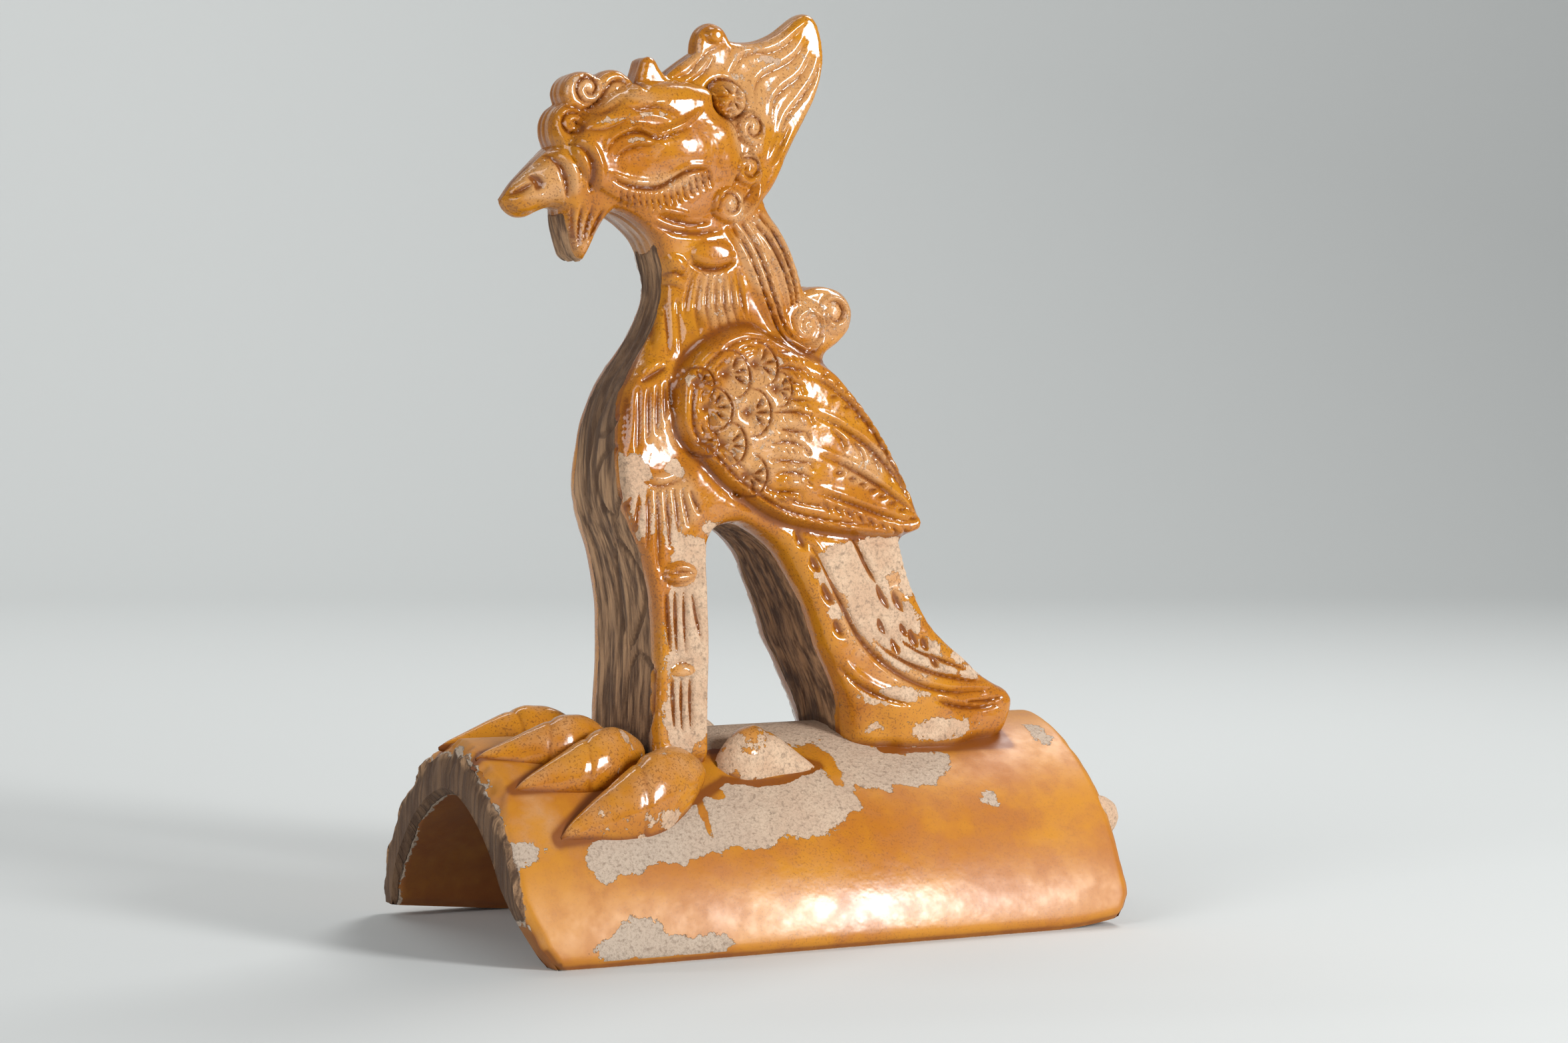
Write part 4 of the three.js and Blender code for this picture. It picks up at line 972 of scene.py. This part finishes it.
def toe_surface(toe, side, turns=40, rows=64):
    """A toe and claw: an egg-shaped section carried from root to tip over the tile, with its
    half width and height from a few stations, and a crease where the claw starts."""
    root_x, root_y, tip_x, tip_y, knuckle, wide, _ = toe
    along = np.linspace(0, 1, rows + 1)[:, None]
    turn = np.linspace(0, 2 * math.pi, turns, endpoint=False)[None, :]
    # stations from root to tip, with the width and the height there
    stations = [0, 0.03, 0.08, 0.16, 0.26, 0.4, 0.55, 0.7, 0.84, 0.94, 1]
    widths = np.interp(along, stations, [0, 0.32, 0.54, 0.78, 0.95, 1, 0.86, 0.62, 0.36, 0.16, 0.0])
    heights = np.interp(along, stations, [0, 0.28, 0.46, 0.72, 0.93, 1, 0.82, 0.57, 0.33, 0.16, 0.0])
    # both profiles are smoothed by a short bell
    kernel = bell(np.linspace(-1, 1, 7), 0.7)
    kernel /= kernel.sum()
    for profile in (widths, heights):
        padded = np.pad(profile[:, 0], 3, mode="edge")
        profile[1:-1, 0] = np.convolve(padded, kernel, mode="valid")[1:-1]
    claw = along - 0.5 - 0.06 * np.cos(turn)
    crease = 0.05 * bell(claw, 0.02) * smooth(np.sin(turn), -0.1, 0.5)
    across = wide * widths * np.cos(turn) * (1 - crease)
    side_height = np.abs(np.sin(turn))
    up = knuckle * heights * np.where(np.sin(turn) > 0, side_height**0.9, -0.8 * side_height) * (1 - crease)
    heading = np.array([tip_x - root_x, tip_y - root_y])
    heading = heading / np.linalg.norm(heading)
    bend = 3.0 * np.sin(math.pi * along) ** 2
    x = root_x + (tip_x - root_x) * along - heading[1] * (across + bend)
    y = root_y + (tip_y - root_y) * along + heading[0] * (across + bend)
    ground = tile_top(y)
    slope = tile_top(y + 0.5) - tile_top(y - 0.5)
    z = ground + up - 1.0
    y = y - slope * np.maximum(up, 0) * 0.45
    spot = np.stack([x, y, z], axis=-1)
    spot = spot + 0.25 * layered(spot, 9, 61)[..., None]
    fields = surface_fields(
        x.shape,
        # darker glaze: pooled glaze with painted shade where the toe meets the tile and along the crease at
        # the claw
        pool=1.1 * bell(np.clip(up, 0, None), 2.0) + 0.6 * bell(claw, 0.016) * (np.sin(turn) > 0),
        thin=0.35 * smooth(np.sin(turn), 0.3, 1.0) + 0.02,
        bare=toe_wear(spot.reshape(-1, 3), toe).reshape(x.shape),
    )
    quads = ring_quads(rows, turns)
    if side > 0:
        return (spot * [1, -1, 1]).reshape(-1, 3), quads[:, ::-1], fields
    return spot.reshape(-1, 3), quads, fields


def toe_wear(points, toe):
    """How far inside worn glaze a toe's points lie, in millimetres."""
    return (toe[6] - 0.62) * 9 + 4.0 * layered(points, 16, 71) - 1.5


STUB_HALF = (STUB_REACH * 1.28, 6.8, 8.6)
STUB_PLACE = (END - STUB_REACH * 0.4, -49.5, 37.5)


def stub_surface(rows=24, turns=32):
    """The broken clay at the back end: a squashed ball whose radius wavers with noise."""
    polar = np.linspace(0, math.pi, rows + 1)[:, None]
    turn = np.linspace(0, 2 * math.pi, turns, endpoint=False)[None, :]
    across, up = np.sin(polar) * np.cos(turn), np.sin(polar) * np.sin(turn)
    ball = np.stack([np.broadcast_to(np.cos(polar), up.shape), across, up], axis=-1)
    rough = 1 + 0.10 * layered(ball * 9, 6, 81)[..., None]
    spot = ball * STUB_HALF * rough + STUB_PLACE
    return spot.reshape(-1, 3), ring_quads(rows, turns), surface_fields(up.shape, thin=1.0, bare=8.0)


def barrel_fields(points):
    """Glaze fields of the barrel: bare patches, ends and edges, dark lines of pooled glaze and painted
    shade at the feet, and painted shade inside the barrel and on its front end.
    """
    x, y, z = points.T
    outside = z > tile_top(y) - 6.0
    flank = (y < 0) & outside
    gap = footprint(points[:, :2])
    side_on = points[:, [0, 2]]
    near = np.full(len(points), NOWHERE)
    for patch in PATCHES:
        near[flank] = np.maximum(near[flank], to_outline(side_on[flank], np.array(patch, float)))
    crown = np.minimum(np.minimum(x + 29, 40 - x), np.minimum(z - 68.5, 30 - y))
    near = np.where(outside, np.maximum(near, crown), near)
    near = np.where(flank, np.minimum(near, -3 * ellipses(side_on, ISLANDS) - 0.5), near)
    far_side = (y >= 0) & outside & (crown < 0)
    near[far_side] = ellipses(side_on[far_side], FLANK_FAR)
    # the front end is bare on both faces, and so are the back end and the bottom edges
    near = np.maximum(near, np.where(outside, 2.6 - (x + END) + 1.2 * (z > 60), NOWHERE))
    near = np.where(outside, near, 3.5 - (x + END))
    near = np.where((np.abs(x) > END - 1.4) & ~outside, 6, near)
    near = np.maximum(near, np.where(z < 0.9, 4.0 - 3.0 * z, NOWHERE))
    # a thin brown line runs round each foot, pooled glaze with painted shade where foot and tile meet, and
    # bare clay stays clear of it
    near = np.where(outside, np.minimum(near, 3.0 * np.maximum(gap - 1.2, -3)), near)
    rims = bell(z - 9, 8) + bell(z - 70, 8)
    return surface_fields(
        x.shape,
        # painted shade inside the barrel: its glaze is darkened towards brown all over
        pool=np.where(outside, 1.15 * bell(gap, 1.9) + 0.17 + 0.22 * layered(points, 70, 95), 0.75),
        thin=0.2 * rims * outside + 0.5 * bell(x + 105, 14) * bell(z - 50, 14) - 0.1,
        bare=near,
        # painted shade: the front end's broken face takes the darker wall clay colour
        grey=0.8 * smooth(3.0 - (x + END), -1.5, 1.5),
        dull=np.clip(1.3 - 0.55 * bell(x - 5, 50) + 0.4 * layered(points, 40, 93), 0, 1.6),
    )


# Meshes and materials


CREASE_ANGLE = 58
MERGE_GAP = 1e-7


def piece(name, points, faces, fields):
    """A mesh object from arrays, with its fields as attributes, riding on the tile's body."""
    mesh = bpy.data.meshes.new(name)
    mesh.from_pydata(to_frame(points).tolist(), [], faces.tolist())
    for key, values in fields.items():
        layer = mesh.attributes.new(key, "FLOAT", "POINT")
        layer.data.foreach_set("value", np.asarray(values, np.float32))
    loose = bpy.data.objects.new(name, mesh)
    bpy.context.scene.collection.objects.link(loose)
    close(mesh)
    mesh.shade_smooth()
    mesh.set_sharp_from_angle(angle=math.radians(CREASE_ANGLE))
    mesh.materials.append(glazed_clay())
    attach(loose, "root")
    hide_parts(NODE)
    return loose


def close(mesh):
    """Drops the faces and corners that a pole left behind."""
    mesh.validate(clean_customdata=False)
    work = bmesh.new()
    work.from_mesh(mesh)
    bmesh.ops.remove_doubles(work, verts=work.verts, dist=MERGE_GAP)
    bmesh.ops.dissolve_degenerate(work, edges=work.edges, dist=1e-8)
    bmesh.ops.delete(work, geom=[v for v in work.verts if not v.link_faces], context="VERTS")
    work.to_mesh(mesh)
    work.free()


class Value:
    """A node's output that can stand in a formula, where each sign makes a Math node."""

    def __init__(self, nodes, socket):
        self.nodes = nodes
        self.socket = socket

    def __add__(self, other):
        return self.nodes.math("ADD", self, other)

    def __sub__(self, other):
        return self.nodes.math("SUBTRACT", self, other)

    def __rsub__(self, other):
        return self.nodes.math("SUBTRACT", other, self)

    def __mul__(self, other):
        return self.nodes.math("MULTIPLY", self, other)


class Nodes:
    """Short calls for a material's node tree."""

    def __init__(self, material):
        self.tree = material.node_tree

    def add(self, kind, **values):
        made = self.tree.nodes.new(kind)
        for key, value in values.items():
            setattr(made, key, value)
        return made

    def wire(self, source, target):
        self.tree.links.new(source, target)

    def put(self, socket, value):
        if isinstance(value, Value):
            self.wire(value.socket, socket)
        else:
            socket.default_value = value

    def math(self, operation, a, b, clamp=False):
        made = self.add("ShaderNodeMath", operation=operation, use_clamp=clamp)
        self.put(made.inputs[0], a)
        self.put(made.inputs[1], b)
        return Value(self, made.outputs[0])

    def most(self, a, b):
        return self.math("MAXIMUM", a, b)

    def field(self, name):
        return Value(self, self.add("ShaderNodeAttribute", attribute_name=name).outputs["Fac"])

    def texture(self, made, stretch, **inputs):
        """A texture on Object coordinates, stretched where that is asked for."""
        for name, value in inputs.items():
            made.inputs[name.replace("_", " ")].default_value = value
        place = self.add("ShaderNodeTexCoord").outputs["Object"]
        if stretch:
            mapping = self.add("ShaderNodeMapping")
            mapping.inputs["Scale"].default_value = stretch
            self.wire(place, mapping.inputs["Vector"])
            place = mapping.outputs["Vector"]
        self.wire(place, made.inputs["Vector"])
        return Value(self, made.outputs["Fac"])

    def noise(self, scale, detail=2.0, roughness=0.5, stretch=None):
        made = self.add("ShaderNodeTexNoise")
        return self.texture(made, stretch, Scale=scale, Detail=detail, Roughness=roughness)

    def strands(self, scale, distortion, stretch):
        made = self.add("ShaderNodeTexWave", bands_direction="Y")
        return self.texture(made, stretch, Scale=scale, Distortion=distortion, Detail=3.0, Detail_Scale=0.8)

    def step(self, value, low, high):
        made = self.add("ShaderNodeMapRange", interpolation_type="SMOOTHSTEP")
        self.put(made.inputs["Value"], value)
        made.inputs["From Min"].default_value = low
        made.inputs["From Max"].default_value = high
        return Value(self, made.outputs["Result"])

    def mix(self, share, first, second):
        """The first colour with a share of the second over it."""
        made = self.add("ShaderNodeMix", data_type="RGBA")
        self.put(made.inputs["Factor"], share)
        for socket, value in ((made.inputs[6], first), (made.inputs[7], second)):
            self.put(socket, value if isinstance(value, Value) else (*value, 1.0))
        return Value(self, made.outputs[2])


# Heights of the finest relief, in metres.
GRAIN_HEIGHT = 0.0005
SAND_DEPTH = 0.0004
SCORE_HEIGHT = 0.0009
GLAZE_HEIGHT = 0.00022
GLAZE_IOR = 1.58


def glazed_clay():
    """Amber lead glaze over buff clay: brown where it pools and where shade is painted, pale where it runs
    thin, gone in ragged patches, with iron specks, and grey scored clay on the walls, darkened with painted
    shade and also painting the shade on the tile's front end."""
    name = "amber_glaze"
    if name in bpy.data.materials:
        return bpy.data.materials[name]
    glaze = bpy.context.scene.ridge_tile_glaze
    material = bpy.data.materials.new(name)
    material.use_nodes = True
    material.node_tree.nodes.clear()
    nodes = Nodes(material)

    broad = nodes.noise(22, 3, 0.55)
    middle = nodes.noise(95, 3, 0.6)
    ragged = nodes.noise(150, 5, 0.65)
    fine = nodes.noise(620, 3, 0.6)
    specks = nodes.noise(1300, 1, 0.5)
    sand = nodes.noise(1050, 3, 0.8)
    pool, thin, gone, wall, dull = (nodes.field(key) for key in FIELDS)

    # glaze: amber, deeper and lighter clouds, pale ridges, brown pools with painted shade, and iron specks
    amber = nodes.mix(nodes.step(broad * 0.65 + middle * 0.35, 0.38, 0.62), glaze.amber, glaze.orange)
    amber = nodes.mix(nodes.step(thin + (middle - 0.5) * 1.1, 0.05, 0.75) * 0.78, amber, glaze.peach)
    # the brown paints pooled glaze and also painted shade at edges, contacts and inside the barrel
    amber = nodes.mix(nodes.step(pool + (middle - 0.5) * 0.35, 0.12, 1.0) * 0.9, amber, glaze.brown)
    speckled = nodes.step(specks + middle * 0.25, 0.70, 0.78) * 0.5
    amber = nodes.mix(speckled * (1.0 - dull * 0.6), amber, glaze.speck)

    # bare clay: buff with grey clouds and dark grains, in worn patches and small chips
    clay = nodes.mix(nodes.step(middle, 0.35, 0.65), glaze.buff, glaze.clay_pale)
    clay = nodes.mix(dull * 0.6, clay, glaze.clay_grey)
    clay = nodes.mix(nodes.step(fine, 0.50, 0.72) * 0.6, clay, glaze.clay_dark)
    clay = nodes.mix(nodes.step(sand, 0.47, 0.64) * 0.34, clay, glaze.clay_dark)
    patches = nodes.step(gone + (ragged - 0.5) * 11.0, -0.12, 0.12)
    chips = nodes.step(nodes.noise(330, 4, 0.7) + nodes.step(thin, 0.15, 0.9) * 0.13, 0.735, 0.745)
    bare = nodes.most(patches, chips)

    # walls: grey-brown clay, darker in the scores and with painted shade; the same colour paints the shade
    # on the tile's front end
    scored = nodes.noise(240, 5, 0.65, (1.0, 1.0, 0.16))
    strand = nodes.step(nodes.strands(70, 22.0, (0.5, 1.0, 0.13)), 0.0, 0.36)
    strand = nodes.most(strand, nodes.step(nodes.noise(75, 2, 0.5, (1.0, 1.0, 0.3)), 0.42, 0.60))
    grey = nodes.mix(nodes.step(scored, 0.34, 0.66), glaze.wall_dark, glaze.wall_pale)
    grey = nodes.mix(strand * 0.68 + 0.32, glaze.wall_dark, grey)
    # darker in the scores and leaves, and painted shade where the wall meets the tile and on the glazed and
    # upper breast walls
    grey = nodes.mix(nodes.step(pool, 0.1, 0.7) * 0.75, grey, glaze.wall_dark)
    walled = nodes.step(wall + (ragged - 0.5) * 0.9, 0.42, 0.55)

    surface = nodes.mix(walled, nodes.mix(bare, amber, clay), grey)
    matte = nodes.most(bare, walled)
    rough = nodes.most(nodes.step(middle, 0.3, 0.7) * 0.12 + 0.10 + dull * 0.24, matte * 0.8)

    grain = ((fine - 0.5) * GRAIN_HEIGHT - sand * SAND_DEPTH) * matte
    score = (scored * 1.3 + strand * 0.5) * walled * SCORE_HEIGHT
    calm = nodes.math("SUBTRACT", 1.0, dull * 0.55, clamp=True)
    ripple = (nodes.noise(210, 2, 0.5) - 0.5) * calm
    bump = nodes.add("ShaderNodeBump")
    bump.inputs["Strength"].default_value = 1.0
    bump.inputs["Distance"].default_value = 1.0
    nodes.put(bump.inputs["Height"], grain + score + (1.0 - matte + ripple) * GLAZE_HEIGHT)

    shader = nodes.add("ShaderNodeBsdfPrincipled")
    shader.inputs["IOR"].default_value = GLAZE_IOR
    nodes.put(shader.inputs["Base Color"], surface)
    nodes.put(shader.inputs["Roughness"], rough)
    nodes.wire(bump.outputs["Normal"], shader.inputs["Normal"])
    output = nodes.add("ShaderNodeOutputMaterial")
    nodes.wire(shader.outputs["BSDF"], output.inputs["Surface"])
    return material


def matte_material(name, colour, roughness):
    """One even colour without gloss."""
    material = bpy.data.materials.new(name)
    material.use_nodes = True
    shader = material.node_tree.nodes["Principled BSDF"]
    shader.inputs["Base Color"].default_value = (*colour, 1.0)
    shader.inputs["Roughness"].default_value = roughness
    return material


# Settings, operators and panel


class RidgeTileGlaze(bpy.types.PropertyGroup):
    """Colours of the glaze and the clay."""

    amber: FloatVectorProperty(name="Amber", description="Glaze of usual thickness", subtype="COLOR",
                               default=(0.565, 0.225, 0.012))
    orange: FloatVectorProperty(name="Orange", description="Deeper clouds in the glaze", subtype="COLOR",
                                default=(0.455, 0.150, 0.010))
    peach: FloatVectorProperty(name="Peach", description="Glaze where it runs thin", subtype="COLOR",
                               # brown also paints shade: at the wing's edge, round the bosses, where parts
                               # meet the tile and inside the barrel
                               default=(0.62, 0.33, 0.135))
    brown: FloatVectorProperty(name="Brown", description="Glaze pooled in grooves", subtype="COLOR",
                               default=(0.205, 0.050, 0.003))
    speck: FloatVectorProperty(name="Speck", description="Iron specks in the glaze", subtype="COLOR",
                               default=(0.13, 0.04, 0.010))
    buff: FloatVectorProperty(name="Buff clay", description="Clay in worn patches", subtype="COLOR",
                              default=(0.61, 0.395, 0.25))
    clay_pale: FloatVectorProperty(name="Pale clay", description="Light clouds in the clay",
                                   subtype="COLOR", default=(0.70, 0.49, 0.325))
    clay_grey: FloatVectorProperty(name="Grey clay", description="Weathered clay of the tile",
                                   subtype="COLOR", default=(0.49, 0.405, 0.325))
    clay_dark: FloatVectorProperty(name="Dark grain", description="Dark grains in the clay",
                                   subtype="COLOR", default=(0.19, 0.125, 0.08))
    wall_dark: FloatVectorProperty(name="Dark wall", description="Scored clay in shade", subtype="COLOR",
                                   default=(0.085, 0.038, 0.015))
    wall_pale: FloatVectorProperty(name="Pale wall", description="Scored clay in light", subtype="COLOR",
                                   default=(0.50, 0.292, 0.150))


class RidgeTileSizes(bpy.types.PropertyGroup):
    """Sizes and mesh steps, in millimetres of the drawing."""

    flank_wall: FloatProperty(name="Flank wall", description="Wall at the bottom edges", default=15.0,
                              min=8.0)
    crown_wall: FloatProperty(name="Crown wall", description="Wall under the figure", default=20.0, min=8.0)
    near_step: FloatProperty(name="Near step", description="Mesh step on the figure's left side",
                             default=0.82, min=0.4)
    far_step: FloatProperty(name="Far step", description="Mesh step on the figure's right side",
                            default=1.15, min=0.4)
    border_step: FloatProperty(name="Border step", description="Mesh step along the outline", default=1.1,
                               min=0.4)
    wall_rows: IntProperty(name="Wall rows", description="Rows of faces across the figure", default=28,
                           min=4)
    arch_cells: IntProperty(name="Arch cells", description="Cells round the barrel", default=176, min=16)
    length_cells: IntProperty(name="Length cells", description="Cells along the barrel", default=190,
                              min=16)


class RidgeTileStage(bpy.types.PropertyGroup):
    """Camera and light of the stage."""

    azimuth: FloatProperty(name="Azimuth", description="Camera's turn about the tile, in degrees",
                           default=-25.91)
    elevation: FloatProperty(name="Elevation", description="Camera's tilt, in degrees", default=3.17)
    lens: FloatProperty(name="Lens", description="Focal length in millimetres", default=85.0)
    key: FloatProperty(name="Key light", description="Power of the right-hand soft light", default=22.0,
                       unit="POWER")
    fill: FloatProperty(name="Fill light", description="Power of the left-hand soft light", default=12.0,
                        unit="POWER")
    wall: FloatProperty(name="Wall light", description="Power of the light on the backdrop", default=24.0,
                        unit="POWER")


class RIDGETILE_OT_figure(bpy.types.Operator):
    """Make the phoenix"""

    bl_idname = "ridgetile.figure"
    bl_label = "Phoenix"

    def execute(self, context):
        piece("phoenix_figure", *figure_surface(context.scene.ridge_tile_sizes))
        return {"FINISHED"}


class RIDGETILE_OT_barrel(bpy.types.Operator):
    """Make the half-barrel tile"""

    bl_idname = "ridgetile.barrel"
    bl_label = "Barrel"

    def execute(self, context):
        points, faces = barrel_surface(context.scene.ridge_tile_sizes)
        piece("tile_barrel", points, faces, barrel_fields(points))
        return {"FINISHED"}


class RIDGETILE_OT_toes(bpy.types.Operator):
    """Make the toes and the broken stub"""

    bl_idname = "ridgetile.toes"
    bl_label = "Toes"

    def execute(self, context):
        parts = [toe_surface(toe, side) for side in (-1, 1) for toe in TOES]
        piece("phoenix_toes", *together(parts))
        piece("tile_stub", *stub_surface())
        return {"FINISHED"}


def together(parts):
    """Several surfaces as one: points and fields end to end, face numbers moved on."""
    starts = np.cumsum([0] + [len(points) for points, _, _ in parts])
    points = np.concatenate([part[0] for part in parts])
    faces = np.concatenate([part[1] + start for part, start in zip(parts, starts)])
    fields = {key: np.concatenate([part[2][key] for part in parts]) for key in parts[0][2]}
    return points, faces, fields


class RIDGETILE_OT_stage(bpy.types.Operator):
    """Set up the floor, the lights and the camera"""

    bl_idname = "ridgetile.stage"
    bl_label = "Stage"

    def execute(self, context):
        stage = context.scene.ridge_tile_stage
        sweep()
        lights(stage)
        camera(stage)
        return {"FINISHED"}


# The stage, in metres: the backdrop's turn in degrees, its paper, and the top light's share
# of the fill light's power.
SWEEP_TURN = -25
PAPER = (0.655, 0.675, 0.668)
TOP_SHARE = 0.85
SKY = (0.98, 0.99, 1.0, 1.0)
SKY_STRENGTH = 0.16


def sweep():
    """A pale floor that curves up into a wall: a profile of floor, quarter circle and wall."""
    start, floor, radius, height, wide = -3.0, 1.6, 0.9, 3.0, 4.0
    turn = np.linspace(0, math.pi / 2, 24)
    y = np.concatenate([[start], floor + radius * np.sin(turn), [floor + radius]])
    z = np.concatenate([[0.0], radius * (1 - np.cos(turn)), [height]])
    line = np.column_stack([y, z])
    turned = math.radians(SWEEP_TURN)
    left = np.column_stack([np.full(len(line), -wide), line])
    right = np.column_stack([np.full(len(line), wide), line])
    points = np.concatenate([left, right])
    spin = np.array([[math.cos(turned), math.sin(turned)], [-math.sin(turned), math.cos(turned)]])
    points[:, :2] = points[:, :2] @ spin
    points[:, 2] += LOW[2]
    count = len(line)
    i = np.arange(count - 1)
    faces = np.stack([i, i + count, i + count + 1, i + 1], axis=1)
    mesh = bpy.data.meshes.new("studio_sweep")
    mesh.from_pydata(points.tolist(), [], faces.tolist())
    mesh.shade_smooth()
    mesh.materials.append(matte_material("pale_paper", PAPER, 0.9))
    made = bpy.data.objects.new("studio_sweep", mesh)
    bpy.context.scene.collection.objects.link(made)


def soft_light(name, place, target, size, power):
    """A rectangular lamp at a place, turned towards its target."""
    light = bpy.data.lights.new(name, "AREA")
    light.shape = "RECTANGLE"
    light.size, light.size_y = size
    light.energy = power
    made = bpy.data.objects.new(name, light)
    bpy.context.scene.collection.objects.link(made)
    made.location = place
    made.rotation_euler = (Vector(target) - Vector(place)).to_track_quat("-Z", "Y").to_euler()


def lights(stage):
    """Four lamps, each with its place, its target and its size in metres, and a dim sky."""
    soft_light("key_light", (0.66, -1.32, 0.56), (0.0, 0.0, 0.17), (0.30, 0.46), stage.key)
    soft_light("fill_light", (-1.5, -0.55, 0.75), (0.0, 0.0, 0.15), (0.9, 1.2), stage.fill)
    soft_light("top_light", (0.80, 0.45, 1.35), (0.0, 0.0, 0.1), (0.5, 0.5), stage.fill * TOP_SHARE)
    soft_light("wall_light", (-0.5, 1.2, 1.9), (0.1, 2.7, 0.4), (1.6, 0.8), stage.wall)
    world = bpy.data.worlds.new("studio")
    world.use_nodes = True
    background = world.node_tree.nodes["Background"]
    background.inputs["Color"].default_value = SKY
    background.inputs["Strength"].default_value = SKY_STRENGTH
    bpy.context.scene.world = world
    bpy.context.scene.view_settings.view_transform = "Standard"


# The camera's place on the sheet, and its film width, in millimetres.
CAMERA_PLACE = (-596.3, -1255.2, 227.5)
FILM_WIDTH = 36.0


def camera(stage):
    """The camera stands where the photograph was taken and looks level across the figure."""
    turn, tilt = math.radians(stage.azimuth), math.radians(stage.elevation)
    back = Vector((math.sin(turn) * math.cos(tilt), -math.cos(turn) * math.cos(tilt), math.sin(tilt)))
    right = Vector((math.cos(turn), math.sin(turn), 0.0))
    up = back.cross(right)
    place = to_frame([CAMERA_PLACE])[0]
    lens = bpy.data.cameras.new("camera")
    lens.sensor_width = FILM_WIDTH
    lens.lens = stage.lens
    made = bpy.data.objects.new("camera", lens)
    bpy.context.scene.collection.objects.link(made)
    made.matrix_world = Matrix.Translation(place) @ Matrix((right, up, back)).transposed().to_4x4()
    bpy.context.scene.camera = made


class RIDGETILE_PT_panel(bpy.types.Panel):
    """Lists the pieces of the ridge tile"""

    bl_idname = "RIDGETILE_PT_panel"
    bl_label = "Ridge tile"
    bl_space_type = "VIEW_3D"
    bl_region_type = "UI"
    bl_category = "Ridge tile"

    def draw(self, context):
        for operator in OPERATORS:
            self.layout.operator(operator.bl_idname)
        scene = context.scene
        for group in (scene.ridge_tile_sizes, scene.ridge_tile_glaze, scene.ridge_tile_stage):
            box = self.layout.box()
            for name in group.__annotations__:
                box.prop(group, name)


OPERATORS = (RIDGETILE_OT_stage, RIDGETILE_OT_barrel, RIDGETILE_OT_figure, RIDGETILE_OT_toes)
GROUPS = (RidgeTileGlaze, RidgeTileSizes, RidgeTileStage)


def register():
    for kind in (*GROUPS, *OPERATORS, RIDGETILE_PT_panel):
        bpy.utils.register_class(kind)
    bpy.types.Scene.ridge_tile_glaze = PointerProperty(type=RidgeTileGlaze)
    bpy.types.Scene.ridge_tile_sizes = PointerProperty(type=RidgeTileSizes)
    bpy.types.Scene.ridge_tile_stage = PointerProperty(type=RidgeTileStage)


def unregister():
    del bpy.types.Scene.ridge_tile_stage
    del bpy.types.Scene.ridge_tile_sizes
    del bpy.types.Scene.ridge_tile_glaze
    for kind in reversed((*GROUPS, *OPERATORS, RIDGETILE_PT_panel)):
        bpy.utils.unregister_class(kind)


def main():
    register()
    bpy.ops.ridgetile.stage()
    bpy.ops.ridgetile.barrel()
    bpy.ops.ridgetile.figure()
    bpy.ops.ridgetile.toes()


if __name__ == "__main__":
    main()
